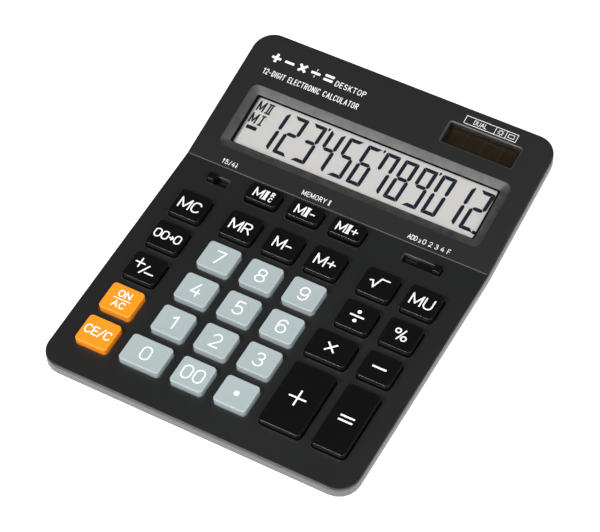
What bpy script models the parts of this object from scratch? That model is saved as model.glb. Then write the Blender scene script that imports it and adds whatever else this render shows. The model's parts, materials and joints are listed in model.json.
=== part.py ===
"""Twelve-digit desk calculator: sprung keys, two slide switches, display, solar cell and button cell.

Metres throughout. +X is right, +Y is towards the back, +Z is up, and the origin is at the centre of
the footprint on the desk. The top surface is two flat slopes that meet at a fold, so two empties
carry the pieces that lie along them: keyboard_plane (v = 0 at the front edge) and display_plane
(v = 0 at the fold). On both, x is right, y is up the slope and z is out of the surface.
"""

import math

import bmesh
import bpy

# ---- overall sizes ----
WIDTH = 0.1530
LENGTH = 0.1990
HEIGHT = 0.0312
KEY_TILT = math.radians(2.0)
DISPLAY_TILT = math.radians(12.1)
DISPLAY_LENGTH = 0.0712
FOLD_DISTANCE = LENGTH - DISPLAY_LENGTH
CORNER_RADIUS = 0.0100
CORNER_STEPS = 5

# ---- case shell ----
EDGE_ROUND = 0.0010
EDGE_DROP = 0.0012
PLATE = 0.0022
PART_LINE = 0.0003
BAND = 0.0039
BAND_WALL = 0.0019
STEP = 0.0024
TUB_TAPER = 0.0062
FLOOR = 0.0016
FOOT_STAND = 0.0015
WALL = 0.0020
LIP_WALL = 0.0013
LIP_DEPTH = 0.0035
FIT = 0.0003
GROOVE = 0.0008
GROOVE_DEPTH = 0.0004

# ---- keys ----
KEY_WIDTH = 0.0160
KEY_DEPTH = 0.0146
SMALL_KEY_DEPTH = 0.0096
KEY_WIDE = 0.0041
COLUMN_PITCH = 0.0214
COLUMN_BREAK = 0.0048
ROW_PITCH = 0.01957
FIRST_ROW = 0.0218
SMALL_ROW = 0.1204
KEY_RISE = 0.0029
KEY_CORNER = 0.0018
KEY_ROUND = 0.0005
KEY_WALL = 0.0012
KEY_GAP = 0.0004
SMALL_FRONT_GAP = 0.0008
KEY_FLANGE = 0.0007
FLANGE_THICK = 0.0008
PLUNGER = 0.0032
PLUNGER_DROP = 0.0010
KEY_TRAVEL = 0.0016

# ---- key mat and main board, below the plate ----
MAT_THICK = 0.0008
DOME_HEIGHT = 0.0016
DOME_BASE = 0.0032
DOME_TOP = 0.0020
BOARD_THICK = 0.0012
BOARD_HALF = 0.0685
BOARD_FRONT = 0.0126
BOARD_BACK = 0.1260

# ---- slide switches ----
SWITCH_V = 0.1196
SLOT_WIDTH = 0.0046
KNOB_LONG = 0.0039
KNOB_RISE = 0.0024
ROUNDING_X = -0.0586
ROUNDING_TRAVEL = 0.0060
DECIMAL_X = 0.0556
DECIMAL_TRAVEL = 0.0150
SLIDER_PLATE = 0.0006
SLIDER_STEM = 0.0024

# ---- display and solar cell, on the display plane ----
RECESS_WIDTH = 0.1324
RECESS_LENGTH = 0.0349
RECESS_V = 0.0275
RECESS_WALL = 0.0040
RECESS_DEPTH = 0.0014
RECESS_CORNER = 0.0035
WINDOW_STEP = 0.0022
WINDOW_THICK = 0.0008
LCD_THICK = 0.0018
WINDOW_LEDGE = 0.0027
SOLAR_WIDTH = 0.0371
SOLAR_LENGTH = 0.0124
SOLAR_X = 0.0438
SOLAR_V = 0.0579
SOLAR_ROUND = 0.0010
SOLAR_DEPTH = 0.0034

# ---- screws, feet and battery ----
SCREW_RADIUS = 0.0010
SCREW_HEAD = 0.0022
SCREW_HEAD_THICK = 0.0015
SCREW_LONG = 0.0060
SCREW_X = 0.0600
FRONT_SCREW_INSET = 0.0086
BACK_SCREW_X = 0.0220
BACK_SCREW_INSET = 0.0120
POST_RADIUS = 0.0028
FOOT_RADIUS = 0.0050
FOOT_X = 0.0600
FOOT_FRONT = 0.0190
FOOT_BACK = 0.0270
CELL_RADIUS = 0.0058
CELL_HEIGHT = 0.0054
CELL_X = -0.0300
CELL_Y = 0.0620
COVER_LONG = 0.0290
COVER_WIDE = 0.0200
COVER_THICK = 0.0018

SIDES = 10

# name, column, row, extra width to the left, rows it spans, colour
KEYS = (
    ("key_memory_clear", 0, 4, 0.0, 1, "black"),
    ("key_delete", 0, 3, 0.0, 1, "black"),
    ("key_sign", 0, 2, 0.0, 1, "black"),
    ("key_on_all_clear", 0, 1, 0.0, 1, "orange"),
    ("key_clear_entry", 0, 0, 0.0, 1, "orange"),
    ("key_memory_recall", 1, 4, 0.0, 1, "black"),
    ("key_memory_minus", 2, 4, 0.0, 1, "black"),
    ("key_memory_plus", 3, 4, 0.0, 1, "black"),
    ("key_7", 1, 3, 0.0, 1, "grey"),
    ("key_8", 2, 3, 0.0, 1, "grey"),
    ("key_9", 3, 3, 0.0, 1, "grey"),
    ("key_4", 1, 2, 0.0, 1, "grey"),
    ("key_5", 2, 2, 0.0, 1, "grey"),
    ("key_6", 3, 2, 0.0, 1, "grey"),
    ("key_1", 1, 1, 0.0, 1, "grey"),
    ("key_2", 2, 1, 0.0, 1, "grey"),
    ("key_3", 3, 1, 0.0, 1, "grey"),
    ("key_0", 1, 0, KEY_WIDE, 1, "grey"),
    ("key_00", 2, 0, 0.0, 1, "grey"),
    ("key_point", 3, 0, 0.0, 1, "grey"),
    ("key_root", 4, 4, 0.0, 1, "black"),
    ("key_divide", 4, 3, 0.0, 1, "black"),
    ("key_multiply", 4, 2, KEY_WIDE, 1, "black"),
    ("key_plus", 4, 0, KEY_WIDE, 2, "black"),
    ("key_markup", 5, 4, 0.0, 1, "black"),
    ("key_percent", 5, 3, 0.0, 1, "black"),
    ("key_minus", 5, 2, 0.0, 1, "black"),
    ("key_equals", 5, 0, 0.0, 2, "black"),
    ("key_memory_two_recall", 1, 5, 0.0, 1, "black"),
    ("key_memory_two_minus", 2, 5, 0.0, 1, "black"),
    ("key_memory_two_plus", 3, 5, 0.0, 1, "black"),
)

COLOURS = {
    "black": (0.030, 0.031, 0.033, 1.0),
    "grey": (0.42, 0.49, 0.50, 1.0),
    "orange": (0.90, 0.27, 0.03, 1.0),
}

FOLD_Y = -LENGTH / 2 + FOLD_DISTANCE * math.cos(KEY_TILT)
FRONT_HEIGHT = (
    HEIGHT
    - math.tan(KEY_TILT) * (FOLD_Y + LENGTH / 2)
    - math.tan(DISPLAY_TILT) * (LENGTH / 2 - EDGE_ROUND - FOLD_Y)
)
FLANGE_TOP = -PLATE - FIT
FLANGE_LOW = FLANGE_TOP - FLANGE_THICK
PLUNGER_LOW = FLANGE_LOW - PLUNGER_DROP
DOME_PEAK = PLUNGER_LOW - FIT
MAT_TOP = DOME_PEAK - DOME_HEIGHT
MAT_LOW = MAT_TOP - MAT_THICK
BOARD_TOP = MAT_LOW - FIT
BOARD_LOW = BOARD_TOP - BOARD_THICK


def surface_z(y):
    """Height of the case's top surface above the desk at y."""
    if y < FOLD_Y:
        return FRONT_HEIGHT + math.tan(KEY_TILT) * (y + LENGTH / 2)
    return surface_z_at_fold() + math.tan(DISPLAY_TILT) * (y - FOLD_Y)


def surface_z_at_fold():
    """Height of the fold between the two slopes."""
    return FRONT_HEIGHT + math.tan(KEY_TILT) * (FOLD_Y + LENGTH / 2)


def column_x(column):
    """Centre of a key column of standard width."""
    x = (column - 2.5) * COLUMN_PITCH
    if column == 0:
        x -= COLUMN_BREAK
    if column > 3:
        x += COLUMN_BREAK
    return x


# ---- scene helpers ----
def clear_scene():
    """Take out whatever the new file holds."""
    for old in list(bpy.data.objects):
        bpy.data.objects.remove(old)


def collection(name):
    """A collection under the scene, made when it is missing."""
    found = bpy.data.collections.get(name)
    if found is None:
        found = bpy.data.collections.new(name)
        bpy.context.scene.collection.children.link(found)
    return found


def material(name, colour, roughness, metallic=0.0, alpha=1.0):
    """A Principled material."""
    made = bpy.data.materials.new(name)
    made.use_nodes = True
    shader = made.node_tree.nodes["Principled BSDF"]
    shader.inputs["Base Color"].default_value = colour
    shader.inputs["Roughness"].default_value = roughness
    shader.inputs["Metallic"].default_value = metallic
    shader.inputs["Alpha"].default_value = alpha
    return made


def plane_empty(name, y, tilt):
    """An empty on the top surface at y, turned so that its z axis leaves the slope square."""
    empty = bpy.data.objects.new(name, None)
    collection("calculator").objects.link(empty)
    empty.location = (0.0, y, surface_z(y))
    empty.rotation_euler = (tilt, 0.0, 0.0)
    return empty


def put_in_scene(name, shape, parent=None, location=(0.0, 0.0, 0.0), cutter=False):
    """An object that owns the bmesh, closed and facing out, in the part or the cutter collection."""
    bmesh.ops.recalc_face_normals(shape, faces=shape.faces[:])
    mesh = bpy.data.meshes.new(name)
    shape.to_mesh(mesh)
    shape.free()
    made = bpy.data.objects.new(name, mesh)
    collection("cutters" if cutter else "calculator").objects.link(made)
    made.parent = parent
    made.location = location
    if cutter:
        made.hide_render = True
        made.display_type = "WIRE"
    return made


def boolean(target, other, operation):
    """Add or take away another object's volume."""
    made = target.modifiers.new(operation.lower(), "BOOLEAN")
    made.operation = operation
    made.solver = "EXACT"
    made.object = other


# ---- outlines: lists of (x, y), anticlockwise ----
def box_outline(x, y, long, wide, radius=0.0, steps=0):
    """Rectangle centred on (x, y), long in x and wide in y, with rounded corners."""
    points = []
    for n, (side_x, side_y) in enumerate(((1, -1), (1, 1), (-1, 1), (-1, -1))):
        corner_x = x + side_x * (long / 2 - radius)
        corner_y = y + side_y * (wide / 2 - radius)
        for step in range(steps + 1):
            turn = math.pi / 2 * (n - 1 + step / steps) if steps else 0.0
            points.append(
                (
                    corner_x + radius * math.cos(turn),
                    corner_y + radius * math.sin(turn),
                )
            )
    return points


def round_outline(x, y, radius, sides=SIDES):
    """Circle as a polygon of equal sides."""
    turns = (2 * math.pi * n / sides for n in range(sides))
    return [(x + radius * math.cos(a), y + radius * math.sin(a)) for a in turns]


def cross_outline(x, y, arm, half):
    """Plus sign for the recess in a screw's head."""
    corners = ((arm, -half), (arm, half), (half, half), (half, arm), (-half, arm), (-half, half))
    mirrored = [(-a, -b) for a, b in corners]
    return [(x + a, y + b) for a, b in list(corners) + mirrored]


def stack(shape, levels):
    """Add one closed body to the bmesh: outlines of equal count, each at its own height.

    The levels run from the body's first flat end to its last. Two levels at one height make a step.
    """
    rings = [[shape.verts.new((x, y, z)) for x, y in outline] for outline, z in levels]
    count = len(rings[0])
    for low, high in zip(rings, rings[1:]):
        for n in range(count):
            after = (n + 1) % count
            shape.faces.new((low[n], low[after], high[after], high[n]))
    shape.faces.new(list(reversed(rings[0])))
    shape.faces.new(rings[-1])


def solid(name, levels, parent=None, location=(0.0, 0.0, 0.0)):
    """An object that is a single stack."""
    shape = bmesh.new()
    stack(shape, levels)
    return put_in_scene(name, shape, parent, location)


def prism(outline, low, high):
    """Levels of a straight body between two heights."""
    return [(outline, low), (outline, high)]


def strip(name, path, thick, low_x, high_x, parent=None, location=(0.0, 0.0, 0.0)):
    """A bent flat strip: a path in (y, z) given a thickness, run from low_x to high_x."""
    upper = []
    lower = []
    for n, (y, z) in enumerate(path):
        before = path[max(n - 1, 0)]
        after = path[min(n + 1, len(path) - 1)]
        along_y = after[0] - before[0]
        along_z = after[1] - before[1]
        size = math.hypot(along_y, along_z)
        across_y = -along_z / size * thick / 2
        across_z = along_y / size * thick / 2
        upper.append((y + across_y, z + across_z))
        lower.append((y - across_y, z - across_z))
    shape = bmesh.new()
    ends = []
    for x in (low_x, high_x):
        top = [shape.verts.new((x, y, z)) for y, z in upper]
        bottom = [shape.verts.new((x, y, z)) for y, z in lower]
        ends.append((top, bottom))
    (top_a, low_a), (top_b, low_b) = ends
    for n in range(len(path) - 1):
        shape.faces.new((top_a[n], top_a[n + 1], top_b[n + 1], top_b[n]))
        shape.faces.new((low_a[n], low_b[n], low_b[n + 1], low_a[n + 1]))
        shape.faces.new((top_a[n], low_a[n], low_a[n + 1], top_a[n + 1]))
        shape.faces.new((top_b[n], top_b[n + 1], low_b[n + 1], low_b[n]))
    for n in (0, -1):
        shape.faces.new((top_a[n], top_b[n], low_b[n], low_a[n]))
    return put_in_scene(name, shape, parent, location)


# ---- case shells, lofted flat and then lifted onto the two slopes ----
LIFT = 1.0


def case_outline(inset):
    """The case's plan outline, drawn in by an inset on every side."""
    radius = max(CORNER_RADIUS - inset, 0.0015)
    return box_outline(0.0, 0.0, WIDTH - 2 * inset, LENGTH - 2 * inset, radius, CORNER_STEPS)


def tub_narrowing(y):
    """Share by which the tub's foot is narrower than at the fold, growing evenly to the back."""
    return TUB_TAPER / (WIDTH / 2) * (y - FOLD_Y) / (LENGTH / 2 - FOLD_Y)


def case_body(name, levels, cutter=False):
    """Closed body of case outlines. A level is (inset, height, True to follow the top surface)."""
    shape = bmesh.new()
    stack(shape, [(case_outline(inset), z + LIFT * follows) for inset, z, follows in levels])
    everything = shape.verts[:] + shape.edges[:] + shape.faces[:]
    bmesh.ops.bisect_plane(
        shape, geom=everything, dist=1e-7, plane_co=(0.0, FOLD_Y, 0.0), plane_no=(0.0, 1.0, 0.0)
    )
    for vert in shape.verts:
        if vert.co.z > LIFT / 2:
            vert.co.z += surface_z(vert.co.y) - LIFT
        elif vert.co.y > FOLD_Y:
            vert.co.x *= 1.0 - tub_narrowing(vert.co.y)
    bmesh.ops.triangulate(shape, faces=shape.faces[:])
    return put_in_scene(name, shape, cutter=cutter)


def screw_places():
    """(x, y, height of the head's seat) of the four case screws."""
    front = -LENGTH / 2 + FRONT_SCREW_INSET
    back = LENGTH / 2 - BACK_SCREW_INSET
    low = FOOT_STAND + 0.0025
    high = FOOT_STAND + 0.0075
    return (
        ("front_left", -SCREW_X, front, low),
        ("front_right", SCREW_X, front, low),
        ("back_left", -BACK_SCREW_X, back, high),
        ("back_right", BACK_SCREW_X, back, high),
    )


def foot_places():
    """(name, x, y) of the four feet."""
    front = -LENGTH / 2 + FOOT_FRONT
    back = LENGTH / 2 - FOOT_BACK
    return (
        ("front_left", -FOOT_X, front),
        ("front_right", FOOT_X, front),
        ("back_left", -FOOT_X, back),
        ("back_right", FOOT_X, back),
    )


def board_posts():
    """(x, v) of the posts that hold the main board up."""
    return ((-0.056, 0.062), (0.056, 0.062), (-0.056, 0.108), (0.056, 0.108))


SEAT = 0.0015
SEAT_HOLE = SCREW_RADIUS + 0.0004
PILOT = SCREW_RADIUS + FIT
HEAD_HOLE = SCREW_HEAD + 0.0004
BOSS_RADIUS = HEAD_HOLE + 0.0010


def key_size(entry):
    """(centre x, centre v, width, depth) of a key."""
    name, column, row, wider, rows, colour = entry
    width = KEY_WIDTH + wider
    x = column_x(column) - wider / 2
    if row == 5:
        return x, SMALL_ROW, width, SMALL_KEY_DEPTH
    depth = KEY_DEPTH + (rows - 1) * ROW_PITCH
    v = FIRST_ROW + (row + (rows - 1) / 2) * ROW_PITCH
    return x, v, width, depth


def front_gap(entry):
    """Gap between a key and the front of its opening: the small row has a wider one."""
    return SMALL_FRONT_GAP if entry[2] == 5 else KEY_GAP


def top_housing(keyboard, display):
    """Upper shell with the key openings, slots, display recess, solar recess and screw posts."""
    lip = BAND_WALL + FIT
    body = case_body(
        "top_housing",
        (
            (lip, -LIP_DEPTH, True),
            (lip, -EDGE_DROP, True),
            (0.0, -EDGE_DROP, True),
            (EDGE_ROUND * 0.10, -EDGE_DROP * 0.62, True),
            (EDGE_ROUND * 0.42, -EDGE_DROP * 0.20, True),
            (EDGE_ROUND, 0.0, True),
        ),
    )
    inside = lip + LIP_WALL
    hollow = case_body(
        "top_hollow", ((inside, -2 * LIP_DEPTH, True), (inside, -PLATE, True)), cutter=True
    )
    boolean(body, hollow, "DIFFERENCE")

    posts = bmesh.new()
    for name, x, y, seat in screw_places():
        top = surface_z(y) - PLATE / 2
        stack(posts, prism(round_outline(x, y, POST_RADIUS), seat + SEAT + FIT, top))
    boolean(body, put_in_scene("top_posts", posts, cutter=True), "UNION")

    frames = bmesh.new()
    half = WINDOW_LEDGE + 0.0030
    outline = box_outline(
        0.0,
        RECESS_V,
        RECESS_WIDTH - 2 * RECESS_WALL + 2 * half,
        RECESS_LENGTH - 2 * RECESS_WALL + 2 * half,
    )
    stack(frames, prism(outline, -LCD_LID, -PLATE / 2))
    outline = box_outline(SOLAR_X, SOLAR_V, SOLAR_WIDTH + 0.0040, SOLAR_LENGTH + 0.0040)
    stack(frames, prism(outline, -SOLAR_LID, -PLATE / 2))
    boolean(body, put_in_scene("top_frames", frames, display, cutter=True), "UNION")

    openings = bmesh.new()
    for entry in KEYS:
        x, v, width, depth = key_size(entry)
        extra = front_gap(entry) + KEY_GAP
        outline = box_outline(
            x,
            v - (front_gap(entry) - KEY_GAP) / 2,
            width + 2 * KEY_GAP,
            depth + extra,
            KEY_CORNER + KEY_GAP,
            2,
        )
        stack(openings, prism(outline, -2 * PLATE, PLATE))
    for x, travel in ((ROUNDING_X, ROUNDING_TRAVEL), (DECIMAL_X, -DECIMAL_TRAVEL)):
        outline = box_outline(
            x + travel / 2, SWITCH_V, KNOB_LONG + abs(travel) + 2 * FIT, SLOT_WIDTH, 0.0005, 1
        )
        stack(openings, prism(outline, -2 * PLATE, PLATE))
    boolean(body, put_in_scene("key_openings", openings, keyboard, cutter=True), "DIFFERENCE")

    relief = bmesh.new()
    outline = box_outline(DECIMAL_X - 0.0125, SWITCH_V, 0.0470, SLOT_WIDTH + 0.0014)
    stack(relief, prism(outline, -2 * PLATE, -0.0008))
    boolean(body, put_in_scene("slider_relief", relief, keyboard, cutter=True), "DIFFERENCE")

    windows = bmesh.new()
    wide = RECESS_WIDTH - 2 * RECESS_WALL
    long = RECESS_LENGTH - 2 * RECESS_WALL
    ledge = 2 * WINDOW_LEDGE
    rise = RECESS_WALL / RECESS_DEPTH * GROOVE
    pocket = box_outline(0.0, RECESS_V, wide + ledge, long + ledge, 0.0008, 2)
    opening = box_outline(0.0, RECESS_V, wide, long, 0.0010, 2)
    mouth = box_outline(
        0.0,
        RECESS_V,
        RECESS_WIDTH + 2 * rise,
        RECESS_LENGTH + 2 * rise,
        RECESS_CORNER + rise,
        2,
    )
    stack(
        windows,
        (
            (pocket, -2 * LCD_LID),
            (pocket, -WINDOW_STEP),
            (opening, -WINDOW_STEP),
            (opening, -RECESS_DEPTH),
            (mouth, GROOVE),
        ),
    )
    opening = box_outline(
        SOLAR_X, SOLAR_V, SOLAR_WIDTH - 2 * SOLAR_ROUND, SOLAR_LENGTH - 2 * SOLAR_ROUND, 0.0004, 1
    )
    mouth = box_outline(
        SOLAR_X, SOLAR_V, SOLAR_WIDTH + 2 * SOLAR_ROUND, SOLAR_LENGTH + 2 * SOLAR_ROUND, 0.0008, 1
    )
    pocket = box_outline(SOLAR_X, SOLAR_V, SOLAR_WIDTH + FIT, SOLAR_LENGTH + FIT, 0.0004, 1)
    stack(
        windows,
        (
            (pocket, -2 * SOLAR_LID),
            (pocket, -SOLAR_DEPTH),
            (opening, -SOLAR_DEPTH),
            (opening, -SOLAR_ROUND),
            (mouth, SOLAR_ROUND),
        ),
    )
    boolean(body, put_in_scene("display_openings", windows, display, cutter=True), "DIFFERENCE")

    holes = bmesh.new()
    for name, x, y, seat in screw_places():
        start = seat + SEAT
        stack(holes, prism(round_outline(x, y, PILOT), start, seat + SCREW_LONG + 0.0006))
    outline = box_outline(0.0, FOLD_Y, WIDTH - 2 * EDGE_ROUND + 0.0014, GROOVE)
    stack(holes, prism(outline, surface_z_at_fold() - GROOVE_DEPTH, HEIGHT))
    boolean(body, put_in_scene("pilot_holes", holes, cutter=True), "DIFFERENCE")
    return body


LCD_LID = WINDOW_STEP + FIT + WINDOW_THICK + 0.0004
SOLAR_LID = 0.0062


def bottom_housing():
    """Lower shell: the grey side band, the tucked-in tub, bosses, board posts and battery well."""
    band_top = EDGE_DROP + PART_LINE
    body = case_body(
        "bottom_housing",
        (
            (0.0048, FOOT_STAND, False),
            (0.0040, FOOT_STAND + 0.0008, False),
            (STEP, -band_top - BAND, True),
            (0.0, -band_top - BAND, True),
            (0.0, -band_top, True),
        ),
    )
    shelf = -LIP_DEPTH - 0.0004
    hollow = case_body(
        "bottom_hollow",
        (
            (0.0062, FOOT_STAND + FLOOR, False),
            (STEP + WALL, shelf, True),
            (BAND_WALL, shelf, True),
            (BAND_WALL, PLATE, True),
        ),
        cutter=True,
    )
    boolean(body, hollow, "DIFFERENCE")

    floor_inside = FOOT_STAND + FLOOR / 2
    bosses = bmesh.new()
    for name, x, y, seat in screw_places():
        stack(bosses, prism(round_outline(x, y, BOSS_RADIUS), floor_inside, seat + SEAT))
    for x, v in board_posts():
        y = v * math.cos(KEY_TILT) - LENGTH / 2
        top = surface_z(y) + (BOARD_LOW - 0.0004) / math.cos(KEY_TILT)
        stack(bosses, prism(round_outline(x, y, 0.0020, 8), floor_inside, top))
    pad = box_outline(COVER_X, CELL_Y, COVER_LONG + 0.0040, COVER_WIDE + 0.0040)
    stack(bosses, prism(pad, floor_inside, RECESS_TOP + 0.0012))
    boolean(body, put_in_scene("bottom_bosses", bosses, cutter=True), "UNION")

    tubes = bmesh.new()
    stack(tubes, prism(round_outline(CELL_X, CELL_Y, WELL_RADIUS + 0.0014, 16), RECESS_TOP, WELL_TOP))
    stack(tubes, prism(round_outline(COVER_SCREW_X, CELL_Y, 0.0028), RECESS_TOP, COVER_BOSS_TOP))
    boolean(body, put_in_scene("battery_tubes", tubes, cutter=True), "UNION")

    holes = bmesh.new()
    for name, x, y, seat in screw_places():
        stack(
            holes,
            (
                (round_outline(x, y, HEAD_HOLE), 0.0),
                (round_outline(x, y, HEAD_HOLE), seat),
                (round_outline(x, y, SEAT_HOLE), seat),
                (round_outline(x, y, SEAT_HOLE), seat + 2 * SEAT),
            ),
        )
    for name, x, y in foot_places():
        outline = round_outline(x, y, FOOT_RADIUS + FIT, 16)
        stack(holes, prism(outline, 0.0, FOOT_STAND + 0.0008))
    outline = box_outline(COVER_X, CELL_Y, COVER_LONG + 2 * FIT, COVER_WIDE + 2 * FIT, 0.0013, 2)
    stack(holes, prism(outline, 0.0, RECESS_TOP))
    boolean(body, put_in_scene("bottom_holes", holes, cutter=True), "DIFFERENCE")

    wells = bmesh.new()
    stack(wells, prism(round_outline(CELL_X, CELL_Y, WELL_RADIUS, 16), FOOT_STAND, WELL_TOP + FLOOR))
    stack(wells, prism(round_outline(COVER_SCREW_X, CELL_Y, PILOT), FOOT_STAND, COVER_BOSS_TOP - 0.0008))
    boolean(body, put_in_scene("battery_wells", wells, cutter=True), "DIFFERENCE")
    return body


RECESS_TOP = FOOT_STAND + COVER_THICK + FIT
WELL_RADIUS = CELL_RADIUS + 0.0014
CELL_LOW = RECESS_TOP
CELL_HIGH = CELL_LOW + CELL_HEIGHT
WELL_TOP = CELL_HIGH + 0.0015
COVER_X = CELL_X + 0.0050
COVER_SCREW_X = CELL_X + 0.0155
COVER_BOSS_TOP = RECESS_TOP + 0.0046


# ---- moving pieces ----
def key_levels(width, depth):
    """Levels of a hollow key: plunger, pocket, holding flange, sides and rounded top edge."""

    def ring(grow, radius, z):
        return (box_outline(0.0, 0.0, width + 2 * grow, depth + 2 * grow, radius, 2), z)

    plunger = box_outline(0.0, 0.0, PLUNGER, PLUNGER, 0.0006, 2)
    ceiling = KEY_RISE - KEY_WALL
    flange = KEY_GAP + KEY_FLANGE
    return (
        (plunger, PLUNGER_LOW),
        (plunger, ceiling),
        ring(-KEY_WALL, 0.0008, ceiling),
        ring(-KEY_WALL, 0.0008, FLANGE_LOW),
        ring(flange, KEY_CORNER, FLANGE_LOW),
        ring(flange, KEY_CORNER, FLANGE_TOP),
        ring(0.0, KEY_CORNER, FLANGE_TOP),
        ring(0.0, KEY_CORNER, KEY_RISE - KEY_ROUND),
        ring(-KEY_ROUND * 0.29, KEY_CORNER - KEY_ROUND * 0.29, KEY_RISE - KEY_ROUND * 0.29),
        ring(-KEY_ROUND, KEY_CORNER - KEY_ROUND, KEY_RISE),
    )


def build_keys(keyboard):
    """Every key, with its origin on its own line of travel."""
    for entry in KEYS:
        x, v, width, depth = key_size(entry)
        key = solid(entry[0], key_levels(width, depth), keyboard, (x, v, 0.0))
        key.data.materials.append(material(entry[0], COLOURS[entry[5]], 0.42))


def slider_levels(reach_low, reach_high, pad):
    """Levels of a slide switch's moving piece: contact stem, cover plate, pad and knob."""
    plate_top = FLANGE_TOP
    plate_low = plate_top - SLIDER_PLATE
    plate = box_outline(
        (reach_low + reach_high) / 2, 0.0, reach_high - reach_low, SLOT_WIDTH + 0.0018
    )
    stem = box_outline(0.0, 0.0, SLIDER_STEM, 0.0014)
    knob = box_outline(0.0, 0.0, KNOB_LONG, SLOT_WIDTH - 2 * FIT)
    knob_top = box_outline(0.0, 0.0, KNOB_LONG - 0.0006, SLOT_WIDTH - 2 * FIT - 0.0006)
    levels = [
        (stem, STEM_LOW),
        (stem, plate_low),
        (plate, plate_low),
        (plate, plate_top),
    ]
    if pad:
        middle = box_outline((KNOB_LONG / 2 - pad) / 2, 0.0, KNOB_LONG / 2 + pad, SLOT_WIDTH - 2 * FIT)
        levels += [(middle, plate_top), (middle, -0.0011), (knob, -0.0011)]
    else:
        levels += [(knob, plate_top)]
    return levels + [(knob, KNOB_RISE - FIT), (knob_top, KNOB_RISE)]


LIP_FACE = WIDTH / 2 - BAND_WALL - FIT - LIP_WALL - 0.0010
BASE_TOP = FLANGE_TOP - SLIDER_PLATE - 0.0009
BASE_LOW = BOARD_TOP + FIT
STEM_LOW = BASE_TOP - 0.0012


def build_switches(keyboard):
    """Two slide switches: sliders that move along x and the contact bases they run in."""
    white = (0.62, 0.60, 0.56, 1.0)
    edge = 0.0010
    places = (
        ("rounding_switch", ROUNDING_X, ROUNDING_TRAVEL, 0.0),
        ("decimal_switch", DECIMAL_X, -DECIMAL_TRAVEL, 0.0104),
    )
    for name, x, travel, pad in places:
        reach = KNOB_LONG / 2 + abs(travel) + edge
        high = min(reach, LIP_FACE - x)
        slider = solid(name, slider_levels(-reach, high, pad), keyboard, (x, SWITCH_V, 0.0))
        slider.data.materials.append(material(name, COLOURS["black"], 0.45))

        middle = x + travel / 2
        run = abs(travel) + SLIDER_STEM + 2 * FIT
        base = solid(
            name + "_base",
            prism(box_outline(middle, SWITCH_V, run + 0.0050, 0.0060), BASE_LOW, BASE_TOP),
            keyboard,
        )
        groove = bmesh.new()
        outline = box_outline(middle, SWITCH_V, run, 0.0014 + 2 * FIT)
        stack(groove, prism(outline, STEM_LOW - FIT, BASE_TOP + 0.0010))
        cutter = put_in_scene(name + "_groove", groove, keyboard, cutter=True)
        boolean(base, cutter, "DIFFERENCE")
        base.data.materials.append(material(name + "_base", white, 0.5))


# ---- pieces under the keyboard ----
def build_mat(keyboard):
    """Silicone mat with one hollow dome under each key."""
    half = BOARD_HALF
    tab_low = column_x(1) - KEY_WIDTH / 2 - 0.0012
    tab_high = column_x(3) + KEY_WIDTH / 2 + 0.0012
    shoulder = FIRST_ROW + 4 * ROW_PITCH + KEY_DEPTH / 2 + 0.0012
    front = BOARD_FRONT + 0.0004
    outline = [
        (-half, front),
        (half, front),
        (half, shoulder),
        (tab_high, shoulder),
        (tab_high, BOARD_BACK - 0.0006),
        (tab_low, BOARD_BACK - 0.0006),
        (tab_low, shoulder),
        (-half, shoulder),
    ]
    mat = solid("key_mat", prism(outline, MAT_LOW, MAT_TOP), keyboard)
    domes = bmesh.new()
    hollows = bmesh.new()
    for entry in KEYS:
        x, v, width, depth = key_size(entry)
        stack(
            domes,
            (
                (round_outline(x, v, DOME_BASE, 8), MAT_TOP - MAT_THICK / 2),
                (round_outline(x, v, DOME_BASE, 8), MAT_TOP),
                (round_outline(x, v, DOME_TOP, 8), DOME_PEAK),
            ),
        )
        stack(
            hollows,
            (
                (round_outline(x, v, DOME_BASE - 0.0008, 6), MAT_LOW - MAT_THICK),
                (round_outline(x, v, DOME_BASE - 0.0008, 6), MAT_LOW + MAT_THICK / 4),
                (round_outline(x, v, DOME_TOP - 0.0006, 6), DOME_PEAK - 0.0007),
            ),
        )
    boolean(mat, put_in_scene("mat_domes", domes, keyboard, cutter=True), "UNION")
    boolean(mat, put_in_scene("mat_hollows", hollows, keyboard, cutter=True), "DIFFERENCE")
    mat.data.materials.append(material("key_mat", (0.55, 0.56, 0.56, 1.0), 0.6))


def build_board(keyboard):
    """Main board and the moulded cover over its chip."""
    middle = (BOARD_FRONT + BOARD_BACK) / 2
    outline = box_outline(0.0, middle, 2 * BOARD_HALF, BOARD_BACK - BOARD_FRONT)
    board = solid("main_board", prism(outline, BOARD_LOW, BOARD_TOP), keyboard)
    board.data.materials.append(material("main_board", (0.05, 0.16, 0.07, 1.0), 0.4))
    top = BOARD_LOW - FIT
    levels = (
        (round_outline(0.0, 0.096, 0.0048, 12), top - 0.0016),
        (round_outline(0.0, 0.096, 0.0066, 12), top - 0.0009),
        (round_outline(0.0, 0.096, 0.0072, 12), top),
    )
    cover = solid("chip_cover", levels, keyboard)
    cover.data.materials.append(material("chip_cover", (0.012, 0.012, 0.012, 1.0), 0.3))


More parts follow.
